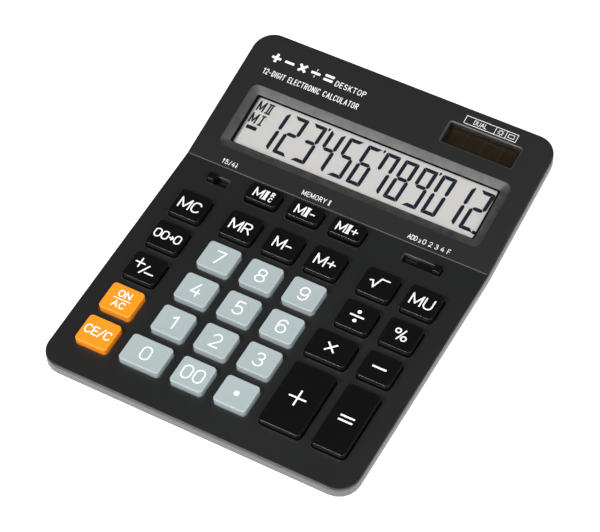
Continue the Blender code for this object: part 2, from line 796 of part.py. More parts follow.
# ---- pieces under the display slope ----
def build_display(display):
    """Display window, liquid crystal panel, its holder and the ribbon to the main board."""
    ledge = 2 * (WINDOW_LEDGE - FIT)
    wide = RECESS_WIDTH - 2 * RECESS_WALL + ledge
    long = RECESS_LENGTH - 2 * RECESS_WALL + ledge
    outline = box_outline(0.0, RECESS_V, wide, long)
    top = -WINDOW_STEP - FIT
    window = solid("display_window", prism(outline, top - WINDOW_THICK, top), display)
    window.data.materials.append(material("display_window", (0.9, 0.9, 0.9, 1.0), 0.05, alpha=0.25))
    top -= WINDOW_THICK + FIT
    lcd_low = top - LCD_THICK
    panel = solid("lcd_panel", prism(outline, lcd_low, top), display)
    panel.data.materials.append(material("lcd_panel", (0.62, 0.62, 0.57, 1.0), 0.25))

    holder_top = -LCD_LID - FIT
    holder_low = lcd_low - FIT - 0.0013
    holder = solid(
        "lcd_holder",
        prism(box_outline(0.0, RECESS_V, wide + 0.0052, long + 0.0052), holder_low, holder_top),
        display,
    )
    cutter = bmesh.new()
    opening = box_outline(0.0, RECESS_V, wide - 0.0100, long - 0.0100)
    seat = box_outline(0.0, RECESS_V, wide + 2 * FIT, long + 2 * FIT)
    levels = (
        (opening, holder_low - FIT),
        (opening, lcd_low - FIT),
        (seat, lcd_low - FIT),
        (seat, holder_top + FIT),
    )
    stack(cutter, levels)
    boolean(holder, put_in_scene("holder_hollow", cutter, display, cutter=True), "DIFFERENCE")
    holder.data.materials.append(material("lcd_holder", (0.55, 0.55, 0.53, 1.0), 0.5))

    under = holder_low - 0.00045
    inner = RECESS_V - (long - 0.0100) / 2
    path = [
        (inner + 0.0040, lcd_low - 0.00045),
        (inner + 0.0012, lcd_low - 0.00045),
        (inner + 0.0008, under),
        (0.0050, under),
        *board_tail(0.00045),
    ]
    ribbon = strip("lcd_ribbon", path, 0.0002, -0.045, 0.030, display)
    ribbon.data.materials.append(material("lcd_ribbon", (0.50, 0.26, 0.08, 1.0), 0.35))

    path = [
        (SOLAR_V + 0.0030, -SOLAR_LID + 0.0001 - 0.00045),
        (SOLAR_V - 0.0040, -SOLAR_LID - 0.0004),
        (SOLAR_V - 0.0110, under),
        (0.0050, under),
        *board_tail(0.00045),
    ]
    ribbon = strip("power_ribbon", path, 0.0002, 0.040, 0.048, display)
    ribbon.data.materials.append(material("power_ribbon", (0.62, 0.62, 0.60, 1.0), 0.4))


def board_tail(gap):
    """Last two points of a ribbon, under the main board's back edge, in the display plane's (v, z)."""
    turn = DISPLAY_TILT - KEY_TILT
    points = []
    for v in (BOARD_BACK + 0.0010, BOARD_BACK - 0.0090):
        along = v - FOLD_DISTANCE
        depth = BOARD_LOW - gap
        points.append(
            (
                along * math.cos(turn) + depth * math.sin(turn),
                depth * math.cos(turn) - along * math.sin(turn),
            )
        )
    return points


def build_solar(display):
    """Clear cover and solar cell."""
    outline = box_outline(SOLAR_X, SOLAR_V, SOLAR_WIDTH - FIT, SOLAR_LENGTH - FIT)
    top = -SOLAR_DEPTH - FIT
    cover = solid("solar_window", prism(outline, top - 0.0006, top), display)
    cover.data.materials.append(material("solar_window", (0.8, 0.8, 0.8, 1.0), 0.08, alpha=0.3))
    top -= 0.0006 + FIT
    cell = solid("solar_cell", prism(outline, top - 0.0011, top), display)
    cell.data.materials.append(material("solar_cell", (0.045, 0.022, 0.010, 1.0), 0.2))


# ---- battery, screws and feet ----
def build_battery():
    """Button cell in its well, spring contacts, screwed cover."""
    cell = solid(
        "battery",
        (
            (round_outline(CELL_X, CELL_Y, CELL_RADIUS - 0.0003, 20), CELL_LOW),
            (round_outline(CELL_X, CELL_Y, CELL_RADIUS, 20), CELL_LOW + 0.0003),
            (round_outline(CELL_X, CELL_Y, CELL_RADIUS, 20), CELL_HIGH - 0.0006),
            (round_outline(CELL_X, CELL_Y, CELL_RADIUS - 0.0010, 20), CELL_HIGH - 0.0006),
            (round_outline(CELL_X, CELL_Y, CELL_RADIUS - 0.0010, 20), CELL_HIGH),
        ),
    )
    cell.data.materials.append(material("battery", (0.55, 0.55, 0.55, 1.0), 0.3, 1.0))

    rim = WELL_TOP + 0.0004
    here = (CELL_X, CELL_Y, 0.0)
    leg = CELL_RADIUS + 0.0007
    path = [(leg, CELL_LOW + 0.0012), (leg, rim), (leg + 0.0060, rim)]
    positive = strip("battery_contact_positive", path, 0.0003, -0.0015, 0.0015, None, here)
    positive.data.materials.append(material("contact_positive", (0.6, 0.58, 0.5, 1.0), 0.3, 1.0))
    touch = CELL_HIGH + 0.0004
    path = [(-0.0122, rim), (-0.0060, rim), (-0.0010, touch), (0.0010, touch), (0.0030, touch + 0.0006)]
    negative = strip("battery_contact_negative", path, 0.0003, -0.0020, 0.0020, None, here)
    negative.data.materials.append(material("contact_negative", (0.6, 0.58, 0.5, 1.0), 0.3, 1.0))

    outline = box_outline(COVER_X, CELL_Y, COVER_LONG, COVER_WIDE, 0.0010, 2)
    cover = solid("battery_cover", prism(outline, FOOT_STAND, FOOT_STAND + COVER_THICK))
    holes = bmesh.new()
    sink = FOOT_STAND + 0.0010
    levels = (
        (round_outline(COVER_SCREW_X, CELL_Y, HEAD_HOLE), 0.0),
        (round_outline(COVER_SCREW_X, CELL_Y, HEAD_HOLE), sink),
        (round_outline(COVER_SCREW_X, CELL_Y, SEAT_HOLE), sink),
        (round_outline(COVER_SCREW_X, CELL_Y, SEAT_HOLE), RECESS_TOP),
    )
    stack(holes, levels)
    boolean(cover, put_in_scene("cover_hole", holes, cutter=True), "DIFFERENCE")
    cover.data.materials.append(material("battery_cover", (0.16, 0.16, 0.155, 1.0), 0.5))
    screw("battery_cover_screw", COVER_SCREW_X, CELL_Y, sink, 0.0007, 0.0044)


def screw(name, x, y, seat, head, long):
    """Pan-head screw put in from below, its head just under the seat, with a cross recess."""
    top = seat - FIT
    made = solid(
        name,
        (
            (round_outline(x, y, SCREW_HEAD - 0.0003), top - head),
            (round_outline(x, y, SCREW_HEAD), top - head + 0.0003),
            (round_outline(x, y, SCREW_HEAD), top),
            (round_outline(x, y, SCREW_RADIUS), top),
            (round_outline(x, y, SCREW_RADIUS), top + long - 0.0005),
            (round_outline(x, y, SCREW_RADIUS * 0.5), top + long),
        ),
    )
    recess = bmesh.new()
    outline = cross_outline(x, y, SCREW_HEAD * 0.55, 0.0003)
    stack(recess, prism(outline, top - head - 0.0005, top - head * 0.4))
    boolean(made, put_in_scene(name + "_recess", recess, cutter=True), "DIFFERENCE")
    made.data.materials.append(material(name, (0.45, 0.45, 0.46, 1.0), 0.35, 1.0))


def build_screws_and_feet():
    """Four case screws and four rubber feet."""
    for name, x, y, seat in screw_places():
        screw("case_screw_" + name, x, y, seat, SCREW_HEAD_THICK, SCREW_LONG)
    for name, x, y in foot_places():
        foot = solid(
            "foot_" + name,
            (
                (round_outline(x, y, FOOT_RADIUS - 0.0005, 16), 0.0),
                (round_outline(x, y, FOOT_RADIUS, 16), 0.0005),
                (round_outline(x, y, FOOT_RADIUS, 16), FOOT_STAND + 0.0005),
            ),
        )
        foot.data.materials.append(material("foot_" + name, (0.03, 0.03, 0.03, 1.0), 0.85))


def main():
    """Build the whole calculator."""
    clear_scene()
    keyboard = plane_empty("keyboard_plane", -LENGTH / 2, KEY_TILT)
    display = plane_empty("display_plane", FOLD_Y, DISPLAY_TILT)
    upper = top_housing(keyboard, display)
    upper.data.materials.append(material("top_housing", (0.032, 0.034, 0.036, 1.0), 0.45))
    lower = bottom_housing()
    lower.data.materials.append(material("bottom_housing", (0.16, 0.16, 0.155, 1.0), 0.5))
    build_keys(keyboard)
    build_switches(keyboard)
    build_mat(keyboard)
    build_board(keyboard)
    build_display(display)
    build_solar(display)
    build_battery()
    build_screws_and_feet()


main()
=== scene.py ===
"""Desk calculator with its keys, display, switches and two-part case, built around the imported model.

Metres throughout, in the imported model's frame: +X right, +Y away from the user, +Z up. The case's top is
two flat slopes that meet at a fold. A place on a slope is given as (x, v, w): x to the right, v up the
slope from its lower edge, and w out of the surface.
"""

import json
import math

import bmesh
import bpy
import numpy as np
from bpy.props import FloatProperty, FloatVectorProperty, PointerProperty
from mathutils import Matrix, Vector
from mathutils.geometry import tessellate_polygon


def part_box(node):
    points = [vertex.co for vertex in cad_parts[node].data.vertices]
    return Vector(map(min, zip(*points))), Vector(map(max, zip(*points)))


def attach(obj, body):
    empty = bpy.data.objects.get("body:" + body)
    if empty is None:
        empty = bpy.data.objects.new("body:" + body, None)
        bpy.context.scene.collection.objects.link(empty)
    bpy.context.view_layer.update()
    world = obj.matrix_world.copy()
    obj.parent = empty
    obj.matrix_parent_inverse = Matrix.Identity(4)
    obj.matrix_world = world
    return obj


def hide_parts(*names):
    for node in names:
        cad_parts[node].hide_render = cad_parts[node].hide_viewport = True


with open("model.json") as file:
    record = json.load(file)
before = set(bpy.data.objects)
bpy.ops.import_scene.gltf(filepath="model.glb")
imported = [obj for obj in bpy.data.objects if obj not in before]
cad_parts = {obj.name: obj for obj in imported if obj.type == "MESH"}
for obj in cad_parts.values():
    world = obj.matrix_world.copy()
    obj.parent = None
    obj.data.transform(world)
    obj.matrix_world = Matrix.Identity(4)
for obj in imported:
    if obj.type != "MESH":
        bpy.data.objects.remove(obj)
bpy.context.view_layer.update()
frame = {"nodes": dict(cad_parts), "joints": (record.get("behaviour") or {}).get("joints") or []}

bl_info = {
    "name": "Desk Calculator",
    "version": (1, 0, 0),
    "blender": (4, 5, 0),
    "location": "3D View > Sidebar > Calculator",
    "description": "Builds a desk calculator with printed keys, a segment display and soft studio light",
    "category": "Add Mesh",
}

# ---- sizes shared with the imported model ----
WIDTH = 0.1530
LENGTH = 0.1990
HEIGHT = 0.0312
KEY_TILT = math.radians(2.0)
DISPLAY_TILT = math.radians(12.1)
FOLD_DISTANCE = 0.1278
CORNER_RADIUS = 0.0100
EDGE_ROUND = 0.0010
SHOULDER = 0.0009
GROOVE_HALF = 0.0004
GROOVE_DEPTH = 0.00035
SHOULDER_DROP = 0.00048
LAND_FOOT = 0.00086
SKIRT_INSET = 0.00014
SKIRT_FOOT = 0.00148
PLATE = 0.0022
BAND_WALL = 0.0019
FIT = 0.0003
LIP_WALL = 0.0013
LIP_DEPTH = 0.0035
FLANGE_THICK = 0.0008
KEY_FLANGE = 0.0007
KEY_GAP = 0.0004
SMALL_FRONT_GAP = 0.0008
KEY_RISE = 0.0029
KEY_WALL = 0.0012
PLUNGER = 0.0032
PLUNGER_DROP = 0.0010
SWITCH_V = 0.1196
SLOT_WIDTH = 0.0046
KNOB_LONG = 0.0039
KNOB_RISE = 0.0024
ROUNDING_X = -0.0586
ROUNDING_TRAVEL = 0.0060
DECIMAL_X = 0.0556
DECIMAL_TRAVEL = 0.0150
RECESS_WIDTH = 0.1324
RECESS_LENGTH = 0.0349
RECESS_V = 0.0275
RECESS_WALL = 0.0040
RECESS_DEPTH = 0.0014
WINDOW_STEP = 0.0022
WINDOW_THICK = 0.0008
WINDOW_LEDGE = 0.0027
SOLAR_WIDTH = 0.0371
SOLAR_LENGTH = 0.0124
SOLAR_X = 0.0438
SOLAR_V = 0.0579
SOLAR_ROUND = 0.0010
SOLAR_DEPTH = 0.0034
SOLAR_LID = 0.0062

FOLD_Y = -LENGTH / 2 + FOLD_DISTANCE * math.cos(KEY_TILT)
FOLD_RISE = math.tan(KEY_TILT) * (FOLD_Y + LENGTH / 2)
FRONT_HEIGHT = (
    HEIGHT - FOLD_RISE - math.tan(DISPLAY_TILT) * (LENGTH / 2 - EDGE_ROUND - FOLD_Y)
)
FLANGE_TOP = -PLATE - FIT
FLANGE_LOW = FLANGE_TOP - FLANGE_THICK
LCD_LID = WINDOW_STEP + FIT + WINDOW_THICK + 0.0004
LCD_TOP = -(WINDOW_STEP + FIT + WINDOW_THICK + FIT)
ARC = 8

ORANGE_KEYS = ("key_on_all_clear", "key_clear_entry")
PLAIN_SIGNS = ("key_divide", "key_multiply", "key_plus", "key_minus", "key_equals")
GREY_KEYS = tuple("key_" + n for n in ("0", "00", "1", "2", "3", "4", "5", "6", "7", "8", "9", "point"))


# ---- places on the two slopes ----
def surface_z(y):
    """Height of the top surface: a straight line in y up to the fold, then a steeper one."""
    key_slope = FRONT_HEIGHT + math.tan(KEY_TILT) * (y + LENGTH / 2)
    display_slope = FRONT_HEIGHT + FOLD_RISE + math.tan(DISPLAY_TILT) * (y - FOLD_Y)
    return np.where(y < FOLD_Y, key_slope, display_slope)


def on_slope(points, tilt, start_y):
    """Turn (x, v, w) points by the slope's tilt about X and move them to where the slope starts."""
    x, v, w = np.moveaxis(np.asarray(points, float), -1, 0)
    start_z = float(surface_z(np.array(start_y)))
    y = start_y + v * math.cos(tilt) - w * math.sin(tilt)
    z = start_z + v * math.sin(tilt) + w * math.cos(tilt)
    return np.stack([x, y, z], -1)


def on_keys(points):
    """Points given on the keyboard slope, in the model's frame."""
    return on_slope(points, KEY_TILT, -LENGTH / 2)


def on_display(points):
    """Points given on the display slope, in the model's frame."""
    return on_slope(points, DISPLAY_TILT, FOLD_Y)


# ---- outlines ----
def rounded(x, y, long, wide, radius, steps=ARC):
    """Rectangle with rounded corners: each corner's centre plus radius times (cos, sin) of a quarter turn."""
    turn = np.linspace(0.0, math.pi / 2, steps + 1)
    sides = np.array([(1, -1), (1, 1), (-1, 1), (-1, -1)])
    angle = turn[None, :] + (np.arange(4)[:, None] - 1) * math.pi / 2
    centre = sides * np.array([long / 2 - radius, wide / 2 - radius]) + np.array([x, y])
    points = centre[:, None, :] + radius * np.stack([np.cos(angle), np.sin(angle)], -1)
    return points.reshape(-1, 2)


def at_level(outline, w):
    """An outline with every point given the same third coordinate."""
    return np.column_stack([outline, np.full(len(outline), w)])


def circle(x, y, radius, sides=40):
    """Points at equal turns round a centre."""
    turn = 2 * math.pi * np.arange(sides) / sides
    return np.stack([x + radius * np.cos(turn), y + radius * np.sin(turn)], -1)


def case_outline(inset, steps=12):
    """The case's plan outline drawn in by an inset, with a point on each side at the fold."""
    radius = max(CORNER_RADIUS - inset, 0.0015)
    ring = rounded(0.0, 0.0, WIDTH - 2 * inset, LENGTH - 2 * inset, radius, steps)
    half = WIDTH / 2 - inset
    corner = steps + 1
    near, far = FOLD_Y - GROOVE_HALF, FOLD_Y + GROOVE_HALF
    right = np.array([(half, near), (half, FOLD_Y), (half, far)])
    left = np.array([(-half, far), (-half, FOLD_Y), (-half, near)])
    return np.concatenate([ring[:corner], right, ring[corner : 3 * corner], left, ring[3 * corner :]])


# ---- mesh building ----
class Skin:
    """Points, faces and edge values gathered as whole arrays before they become one mesh."""

    def __init__(self):
        self.points = []
        self.edge = []
        self.faces = []
        self.flat = []
        self.count = 0

    def take(self, points, edge):
        flat = points.reshape(-1, 3)
        self.points.append(flat)
        self.edge.append(np.broadcast_to(edge, points.shape[:-1]).reshape(-1))
        first = self.count
        self.count += len(flat)
        return first + np.arange(len(flat)).reshape(points.shape[:-1])

    def rings(self, rings, edge=0.0, closed=True, first=False, last=False):
        """Quads from each ring to the next: point n of one joins point n of the other."""
        grid = np.stack(rings)
        values = np.asarray(edge, float)
        index = self.take(grid, values[:, None] if values.ndim else values)
        here = index if closed else index[:, :-1]
        after = np.roll(index, -1, axis=1) if closed else index[:, 1:]
        quads = np.stack([here[:-1], after[:-1], after[1:], here[1:]], -1)
        self.faces += quads.reshape(-1, 4).tolist()
        if first:
            self.faces.append(index[0][::-1].tolist())
        if last:
            self.faces.append(index[-1].tolist())

    def plate(self, outer, holes, lift, up=True):
        """A flat sheet with holes: the outline and holes are cut into triangles in plan, then lifted."""
        loops = [outer] + list(holes)
        cut = tessellate_polygon([[Vector((x, y, 0.0)) for x, y in loop] for loop in loops])
        plan = np.concatenate(loops)
        index = self.take(lift(plan), 0.0)
        triangles = np.array(cut)
        a, b, c = (plan[triangles[:, n]] for n in range(3))
        area = (b[:, 0] - a[:, 0]) * (c[:, 1] - a[:, 1]) - (b[:, 1] - a[:, 1]) * (c[:, 0] - a[:, 0])
        wrong = area < 0 if up else area > 0
        triangles[wrong] = triangles[wrong][:, ::-1]
        self.flat += range(len(self.faces), len(self.faces) + len(triangles))
        self.faces += index[triangles].tolist()

    def finish(self, name, sharp=38.0, weld=2e-6):
        """The mesh object: sheets shaded flat, and the edge value kept on each face's own corners."""
        mesh = bpy.data.meshes.new(name)
        points = np.concatenate(self.points)
        mesh.from_pydata(points.tolist(), [], self.faces)
        corner = np.empty(len(mesh.loops), np.int32)
        mesh.loops.foreach_get("vertex_index", corner)
        kept = mesh.attributes.new("edge", "FLOAT", "CORNER")
        kept.data.foreach_set("value", np.concatenate(self.edge).astype(np.float32)[corner])
        soft = np.ones(len(mesh.polygons), bool)
        soft[self.flat] = False
        mesh.polygons.foreach_set("use_smooth", soft)
        return finish_mesh(name, mesh, sharp, weld)


def finish_mesh(name, mesh, sharp, weld):
    """Link a mesh as an object at the origin with its doubles merged and its flat faces weighted."""
    shape = bmesh.new()
    shape.from_mesh(mesh)
    bmesh.ops.remove_doubles(shape, verts=shape.verts[:], dist=weld)
    shape.to_mesh(mesh)
    shape.free()
    mesh.set_sharp_from_angle(angle=math.radians(sharp))
    made = bpy.data.objects.new(name, mesh)
    bpy.context.scene.collection.objects.link(made)
    flat = made.modifiers.new("flat faces first", "WEIGHTED_NORMAL")
    flat.keep_sharp = True
    flat.weight = 80
    return made


def quarter(radius, drop, steps=5):
    """(how far in, how far down) along a quarter ellipse, from the flat top to the upright side."""
    turn = np.linspace(0.0, math.pi / 2, steps + 1)
    return [(radius * (1 - math.sin(a)), drop * (1 - math.cos(a))) for a in turn]


# ---- the case ----
def key_place(name):
    """Centre and size of a key on the keyboard slope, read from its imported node's box."""
    low, high = (np.array(corner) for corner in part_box(name))
    flange = 2 * (KEY_GAP + KEY_FLANGE)
    middle = (low[1] + high[1]) / 2 + LENGTH / 2
    depth = (high[1] - low[1] + FLANGE_THICK * -math.sin(KEY_TILT)) / math.cos(KEY_TILT)
    v = (middle + (FLANGE_TOP + FLANGE_LOW) / 2 * math.sin(KEY_TILT)) / math.cos(KEY_TILT)
    return (low[0] + high[0]) / 2, v, high[0] - low[0] - flange, depth - flange


def key_names():
    """Every key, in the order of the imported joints."""
    return [joint["child"] for joint in frame["joints"] if joint["child"].startswith("key_")]


def opening_loops():
    """(x, v, long, wide, radius) of each key opening and each switch slot."""
    loops = []
    for name in key_names():
        x, v, width, depth = key_place(name)
        front = SMALL_FRONT_GAP if name.startswith("key_memory_two") else KEY_GAP
        shift = (front - KEY_GAP) / 2
        loops.append((x, v - shift, width + 2 * KEY_GAP, depth + front + KEY_GAP, 0.0022))
    for x, travel in ((ROUNDING_X, ROUNDING_TRAVEL), (DECIMAL_X, -DECIMAL_TRAVEL)):
        loops.append((x + travel / 2, SWITCH_V, KNOB_LONG + abs(travel) + 2 * FIT, SLOT_WIDTH, 0.0006))
    return loops


def grown(loop, grow, w):
    """A rounded rectangle let out by an amount, at a level."""
    x, v, long, wide, radius = loop
    outline = rounded(x, v, long + 2 * grow, wide + 2 * grow, max(radius + grow, 0.0001))
    return at_level(outline, w)


def lift_top(drop):
    """A function that puts plan points on the two slopes, lowered by a drop."""
    return lambda plan: np.column_stack([plan, surface_z(plan[:, 1]) - drop])


def plan_of(points):
    """The plan view of points in the model's frame."""
    return points[:, :2]


def half_outline(inset, keyboard):
    """The part of the case outline on one side of the groove, closed by the groove's edge."""
    ring = case_outline(inset)
    if keyboard:
        return ring[ring[:, 1] < FOLD_Y - GROOVE_HALF * 0.5]
    return ring[ring[:, 1] > FOLD_Y + GROOVE_HALF * 0.5]


def build_upper_case(settings):
    """Upper case: two flat slopes with holes, every hole's rounded edge and wall, and the outer edge.

    Each wall is a profile of (let out, drop) pairs carried round a rounded rectangle.
    """
    skin = Skin()
    soft = settings.opening_round
    profile = [(inward, -drop) for inward, drop in quarter(soft, soft)]
    key_holes = []
    under_holes = []
    for loop in opening_loops():
        rings = [on_keys(grown(loop, grow, w)) for grow, w in profile]
        rings.append(on_keys(grown(loop, 0.0, -PLATE)))
        key_holes.append(plan_of(rings[0]))
        under_holes.append(plan_of(rings[-1]))
        # edge value on the opening's rounded edge: painted highlight through the case finish
        edge = [0.6] * len(profile) + [0.0]
        skin.rings(rings[::-1], edge[::-1])

    recess = (0.0, RECESS_V, RECESS_WIDTH, RECESS_LENGTH, 0.0035)
    inner = (0.0, RECESS_V, RECESS_WIDTH - 2 * RECESS_WALL, RECESS_LENGTH - 2 * RECESS_WALL, 0.0010)
    ledge = (0.0, RECESS_V, inner[2] + 2 * WINDOW_LEDGE, inner[3] + 2 * WINDOW_LEDGE, 0.0010)
    frame_out = (0.0, RECESS_V, ledge[2] + 0.0060, ledge[3] + 0.0060, 0.0012)
    tilt = math.atan2(RECESS_DEPTH, RECESS_WALL)
    bend = 0.0006
    turns = np.linspace(0.0, tilt, 5)
    mouth = [(bend * (math.tan(tilt / 2) - math.sin(a)), -bend * (1 - math.cos(a))) for a in turns]
    rings = [on_display(grown(recess, grow, w)) for grow, w in mouth]
    rings += [
        on_display(grown(inner, grow, -RECESS_DEPTH + w))
        for grow, w in ((0.0002, 0.00007), (0.00005, -0.00002), (0.0, -0.0001))
    ]
    rings.append(on_display(grown(inner, 0.0, -WINDOW_STEP)))
    display_holes = [plan_of(rings[0])]
    # edge values on the recess slopes and rim: painted highlight through the case finish
    edges = [0.4] * 5 + [0.6] * 3 + [0.0]
    for loop, w in ((ledge, -WINDOW_STEP), (ledge, -LCD_LID), (frame_out, -LCD_LID), (frame_out, -PLATE)):
        rings.append(on_display(grown(loop, 0.0, w)))
        edges.append(0.0)
    skin.rings(rings[::-1], edges[::-1])
    display_under = [plan_of(rings[-1])]

    mouth = (SOLAR_X, SOLAR_V, SOLAR_WIDTH - 2 * SOLAR_ROUND, SOLAR_LENGTH - 2 * SOLAR_ROUND, 0.0005)
    pocket = (SOLAR_X, SOLAR_V, SOLAR_WIDTH + FIT, SOLAR_LENGTH + FIT, 0.0005)
    outside = (SOLAR_X, SOLAR_V, SOLAR_WIDTH + 0.0040, SOLAR_LENGTH + 0.0040, 0.0008)
    rings = [on_display(grown(mouth, grow, -drop)) for grow, drop in quarter(SOLAR_ROUND, SOLAR_ROUND, 7)]
    # edge value on the solar mouth's rounded edge: painted highlight through the case finish
    edges = [0.3] * 8 + [0.0] * 5
    levels = (
        (mouth, -SOLAR_DEPTH), (pocket, -SOLAR_DEPTH), (pocket, -SOLAR_LID), (outside, -SOLAR_LID),
        (outside, -PLATE)
    )
    rings += [on_display(grown(loop, 0.0, w)) for loop, w in levels]
    display_holes.append(plan_of(rings[0]))
    display_under.append(plan_of(rings[-1]))
    skin.rings(rings[::-1], edges[::-1])

    skin.plate(half_outline(SHOULDER, True), key_holes, lift_top(0.0))
    skin.plate(half_outline(SHOULDER, False), display_holes, lift_top(0.0))
    build_groove(skin)
    build_case_edge(skin)
    inside = BAND_WALL + FIT + LIP_WALL
    ring = case_outline(inside)
    skin.plate(ring[ring[:, 1] <= FOLD_Y + 1e-9], under_holes, lift_top(PLATE), up=False)
    skin.plate(ring[ring[:, 1] >= FOLD_Y - 1e-9], display_under, lift_top(PLATE), up=False)
    made = skin.finish("upper_case")
    made.data.materials.append(case_plastic("case_black_grain", settings.case_colour, settings))
    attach(made, "case")
    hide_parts("top_housing")


def build_groove(skin):
    """Shallow groove along the fold: a rounded V profile carried across x, closed at both ends."""
    half = WIDTH / 2 - SHOULDER
    across = np.array([-1.0, -0.55, -0.1, 0.15, 0.6, 1.0]) * GROOVE_HALF
    down = np.array([0.0, 0.45, 0.95, 1.0, 0.5, 0.0]) * GROOVE_DEPTH
    y = FOLD_Y + across
    z = surface_z(y) - down
    z[2:4] = surface_z(np.array([FOLD_Y]))[0] - down[2:4]
    left = np.column_stack([np.full(6, -half), y, z])
    right = np.column_stack([np.full(6, half), y, z])
    skin.rings([left, right], closed=False)
    fold = float(surface_z(np.array([FOLD_Y]))[0])
    for ring in (left, right):
        fold_point = np.array([[ring[0, 0], FOLD_Y, fold]])
        cap = np.concatenate([ring, fold_point])
        first = skin.take(cap, 0.0)
        order = [0, 1, 2, 3, 4, 5, 6]
        faces = [first[n] for n in (order if ring[0, 0] > 0 else order[::-1])]
        skin.faces.append([int(n) for n in faces])


def build_fold_highlight(settings):
    """Painted highlight along the fold: a low pale grey bead carried across x, standing in for the light
    caught on the edge of the display cover.
    """
    half = WIDTH / 2 - SHOULDER - 0.0002
    # pale grey strip on the black case: painted highlight along the fold
    ink = moulded("fold_painted_highlight", (0.13, 0.135, 0.135), 0.4, 0.4, 2200.0, 0.000004)
    bead = [line((-half, 0.00012), (half, 0.00012))]
    ink_piece("fold_highlight", [bead], [settings.fold_highlight], -0.00006, on_display, "case", ink)


def build_case_edge(skin):
    """Outer edge: a rounded shoulder, a narrow upright land in pale grey, a painted highlight, then a set-back
    black skirt.

    Each (inset, drop) pair is one ring of the case outline, lowered from the slopes by its drop.
    """
    lip = BAND_WALL + FIT
    inside = lip + LIP_WALL
    levels = [(inset, drop, 0.0) for inset, drop in quarter(SHOULDER, SHOULDER_DROP, 8)]
    levels += [
        # edge value 1.0 on the land: painted highlight through the case finish
        (0.0, SHOULDER_DROP + 0.00002, 1.0), (0.0, LAND_FOOT, 1.0), (0.00002, LAND_FOOT + 0.00003, 0.0)
    ]
    levels += [
        (SKIRT_INSET, LAND_FOOT + 0.00006, 0.0), (SKIRT_INSET, SKIRT_FOOT, 0.0), (lip, SKIRT_FOOT, 0.0)
    ]
    levels += [(lip, LIP_DEPTH, 0.0), (inside, LIP_DEPTH, 0.0), (inside, PLATE, 0.0)]
    rings = []
    for inset, drop, edge in levels:
        plan = case_outline(inset)
        rings.append(np.column_stack([plan, surface_z(plan[:, 1]) - drop]))
    skin.rings(rings[::-1], [edge for inset, drop, edge in levels][::-1])


def build_lower_case(settings):
    """Lower case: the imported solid's own mesh, its doubles merged and flat faces joined, its edges eased."""
    source = frame["nodes"]["bottom_housing"]
    mesh = source.data.copy()
    shape = bmesh.new()
    shape.from_mesh(mesh)
    bmesh.ops.remove_doubles(shape, verts=shape.verts[:], dist=2e-6)
    bmesh.ops.dissolve_limit(
        shape, angle_limit=math.radians(0.4), verts=shape.verts[:], edges=shape.edges[:]
    )
    shape.to_mesh(mesh)
    shape.free()
    mesh.shade_smooth()
    made = finish_mesh("lower_case", mesh, 32.0, 2e-6)
    made.data.materials.clear()
    # mid grey: partly the lower case's own colour, partly a painted reflection of the bright floor
    made.data.materials.append(case_plastic("case_grey_and_floor_reflection", settings.band_colour, settings))
    ease = made.modifiers.new("eased edges", "BEVEL")
    ease.width = 0.00012
    ease.segments = 2
    ease.limit_method = "ANGLE"
    ease.angle_limit = math.radians(40.0)
    ease.use_clamp_overlap = True
    made.modifiers.move(1, 0)
    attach(made, "case")
    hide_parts("bottom_housing")


# ---- keys ----
def key_rings(width, depth, settings):
    """Rings of a hollow key from its plunger's foot, through the pocket and flange, to the crown.

    The top edge is a quarter circle; the crown's rings are the last outline scaled towards the middle
    and sunk by a dish that grows with one minus the square of the scale.
    """
    corner = settings.key_corner
    soft = settings.key_round
    plunger = (0.0, 0.0, PLUNGER, PLUNGER, 0.0006)
    body = (0.0, 0.0, width, depth, corner)
    ceiling = KEY_RISE - KEY_WALL
    flange = KEY_GAP + KEY_FLANGE
    plunger_low = FLANGE_LOW - PLUNGER_DROP
    rings = [
        (grown(plunger, 0.0, plunger_low), 0.0),
        (grown(plunger, 0.0, ceiling), 0.0),
        (grown(body, -KEY_WALL, ceiling), 0.0),
        (grown(body, -KEY_WALL, FLANGE_LOW), 0.0),
        (grown(body, flange, FLANGE_LOW), 0.0),
        (grown(body, flange, FLANGE_TOP), 0.0),
        (grown(body, 0.0, FLANGE_TOP), 0.0),
        (grown(body, 0.0, -0.0001), 0.0),
    ]
    for inward, drop in quarter(soft, soft, 6)[::-1]:
        rings.append((grown(body, -inward, KEY_RISE - drop), 0.8))
    edge_ring = rings[-1][0]
    for scale in (0.94, 0.72, 0.45, 0.18):
        ring = edge_ring.copy()
        ring[:, :2] *= scale
        ring[:, 2] = KEY_RISE - settings.key_dish * (1 - scale * scale)
        rings.append((ring, 0.0))
    return [ring for ring, edge in rings], [edge for ring, edge in rings]


def key_kind(name):
    """Colour family of a key."""
    if name in ORANGE_KEYS:
        return "orange"
    return "grey" if name in GREY_KEYS else "black"


def build_keys(settings):
    """Every key as its own piece on its own body."""
    colours = {
        "black": settings.black_key_colour,
        "grey": settings.grey_key_colour,
        "orange": settings.orange_key_colour,
    }
    finishes = {
        kind: key_plastic("key_" + kind + "_moulded", colours[kind], kind)
        for kind in colours
    }
    for name in key_names():
        x, v, width, depth = key_place(name)
        rings, edges = key_rings(width, depth, settings)
        skin = Skin()
        placed = [on_keys(ring + np.array([x, v, 0.0])) for ring in rings]
        skin.rings(placed, edges, first=True, last=True)
        made = skin.finish(name.replace("key_", "cap_"), 40.0)
        made.data.materials.append(finishes[key_kind(name)])
        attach(made, name)
        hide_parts(name)


# ---- lettering: every glyph is a few round-ended strokes on a cell one unit high ----
def bow(x, y, across, high, start, end, count=14):
    """Points along an ellipse round (x, y), from one angle in degrees to another."""
    turn = np.radians(np.linspace(start, end, count))
    return np.stack([x + across * np.cos(turn), y + high * np.sin(turn)], -1)


def join(*runs):
    """One stroke from several runs of points."""
    return np.concatenate([np.asarray(run, float) for run in runs])


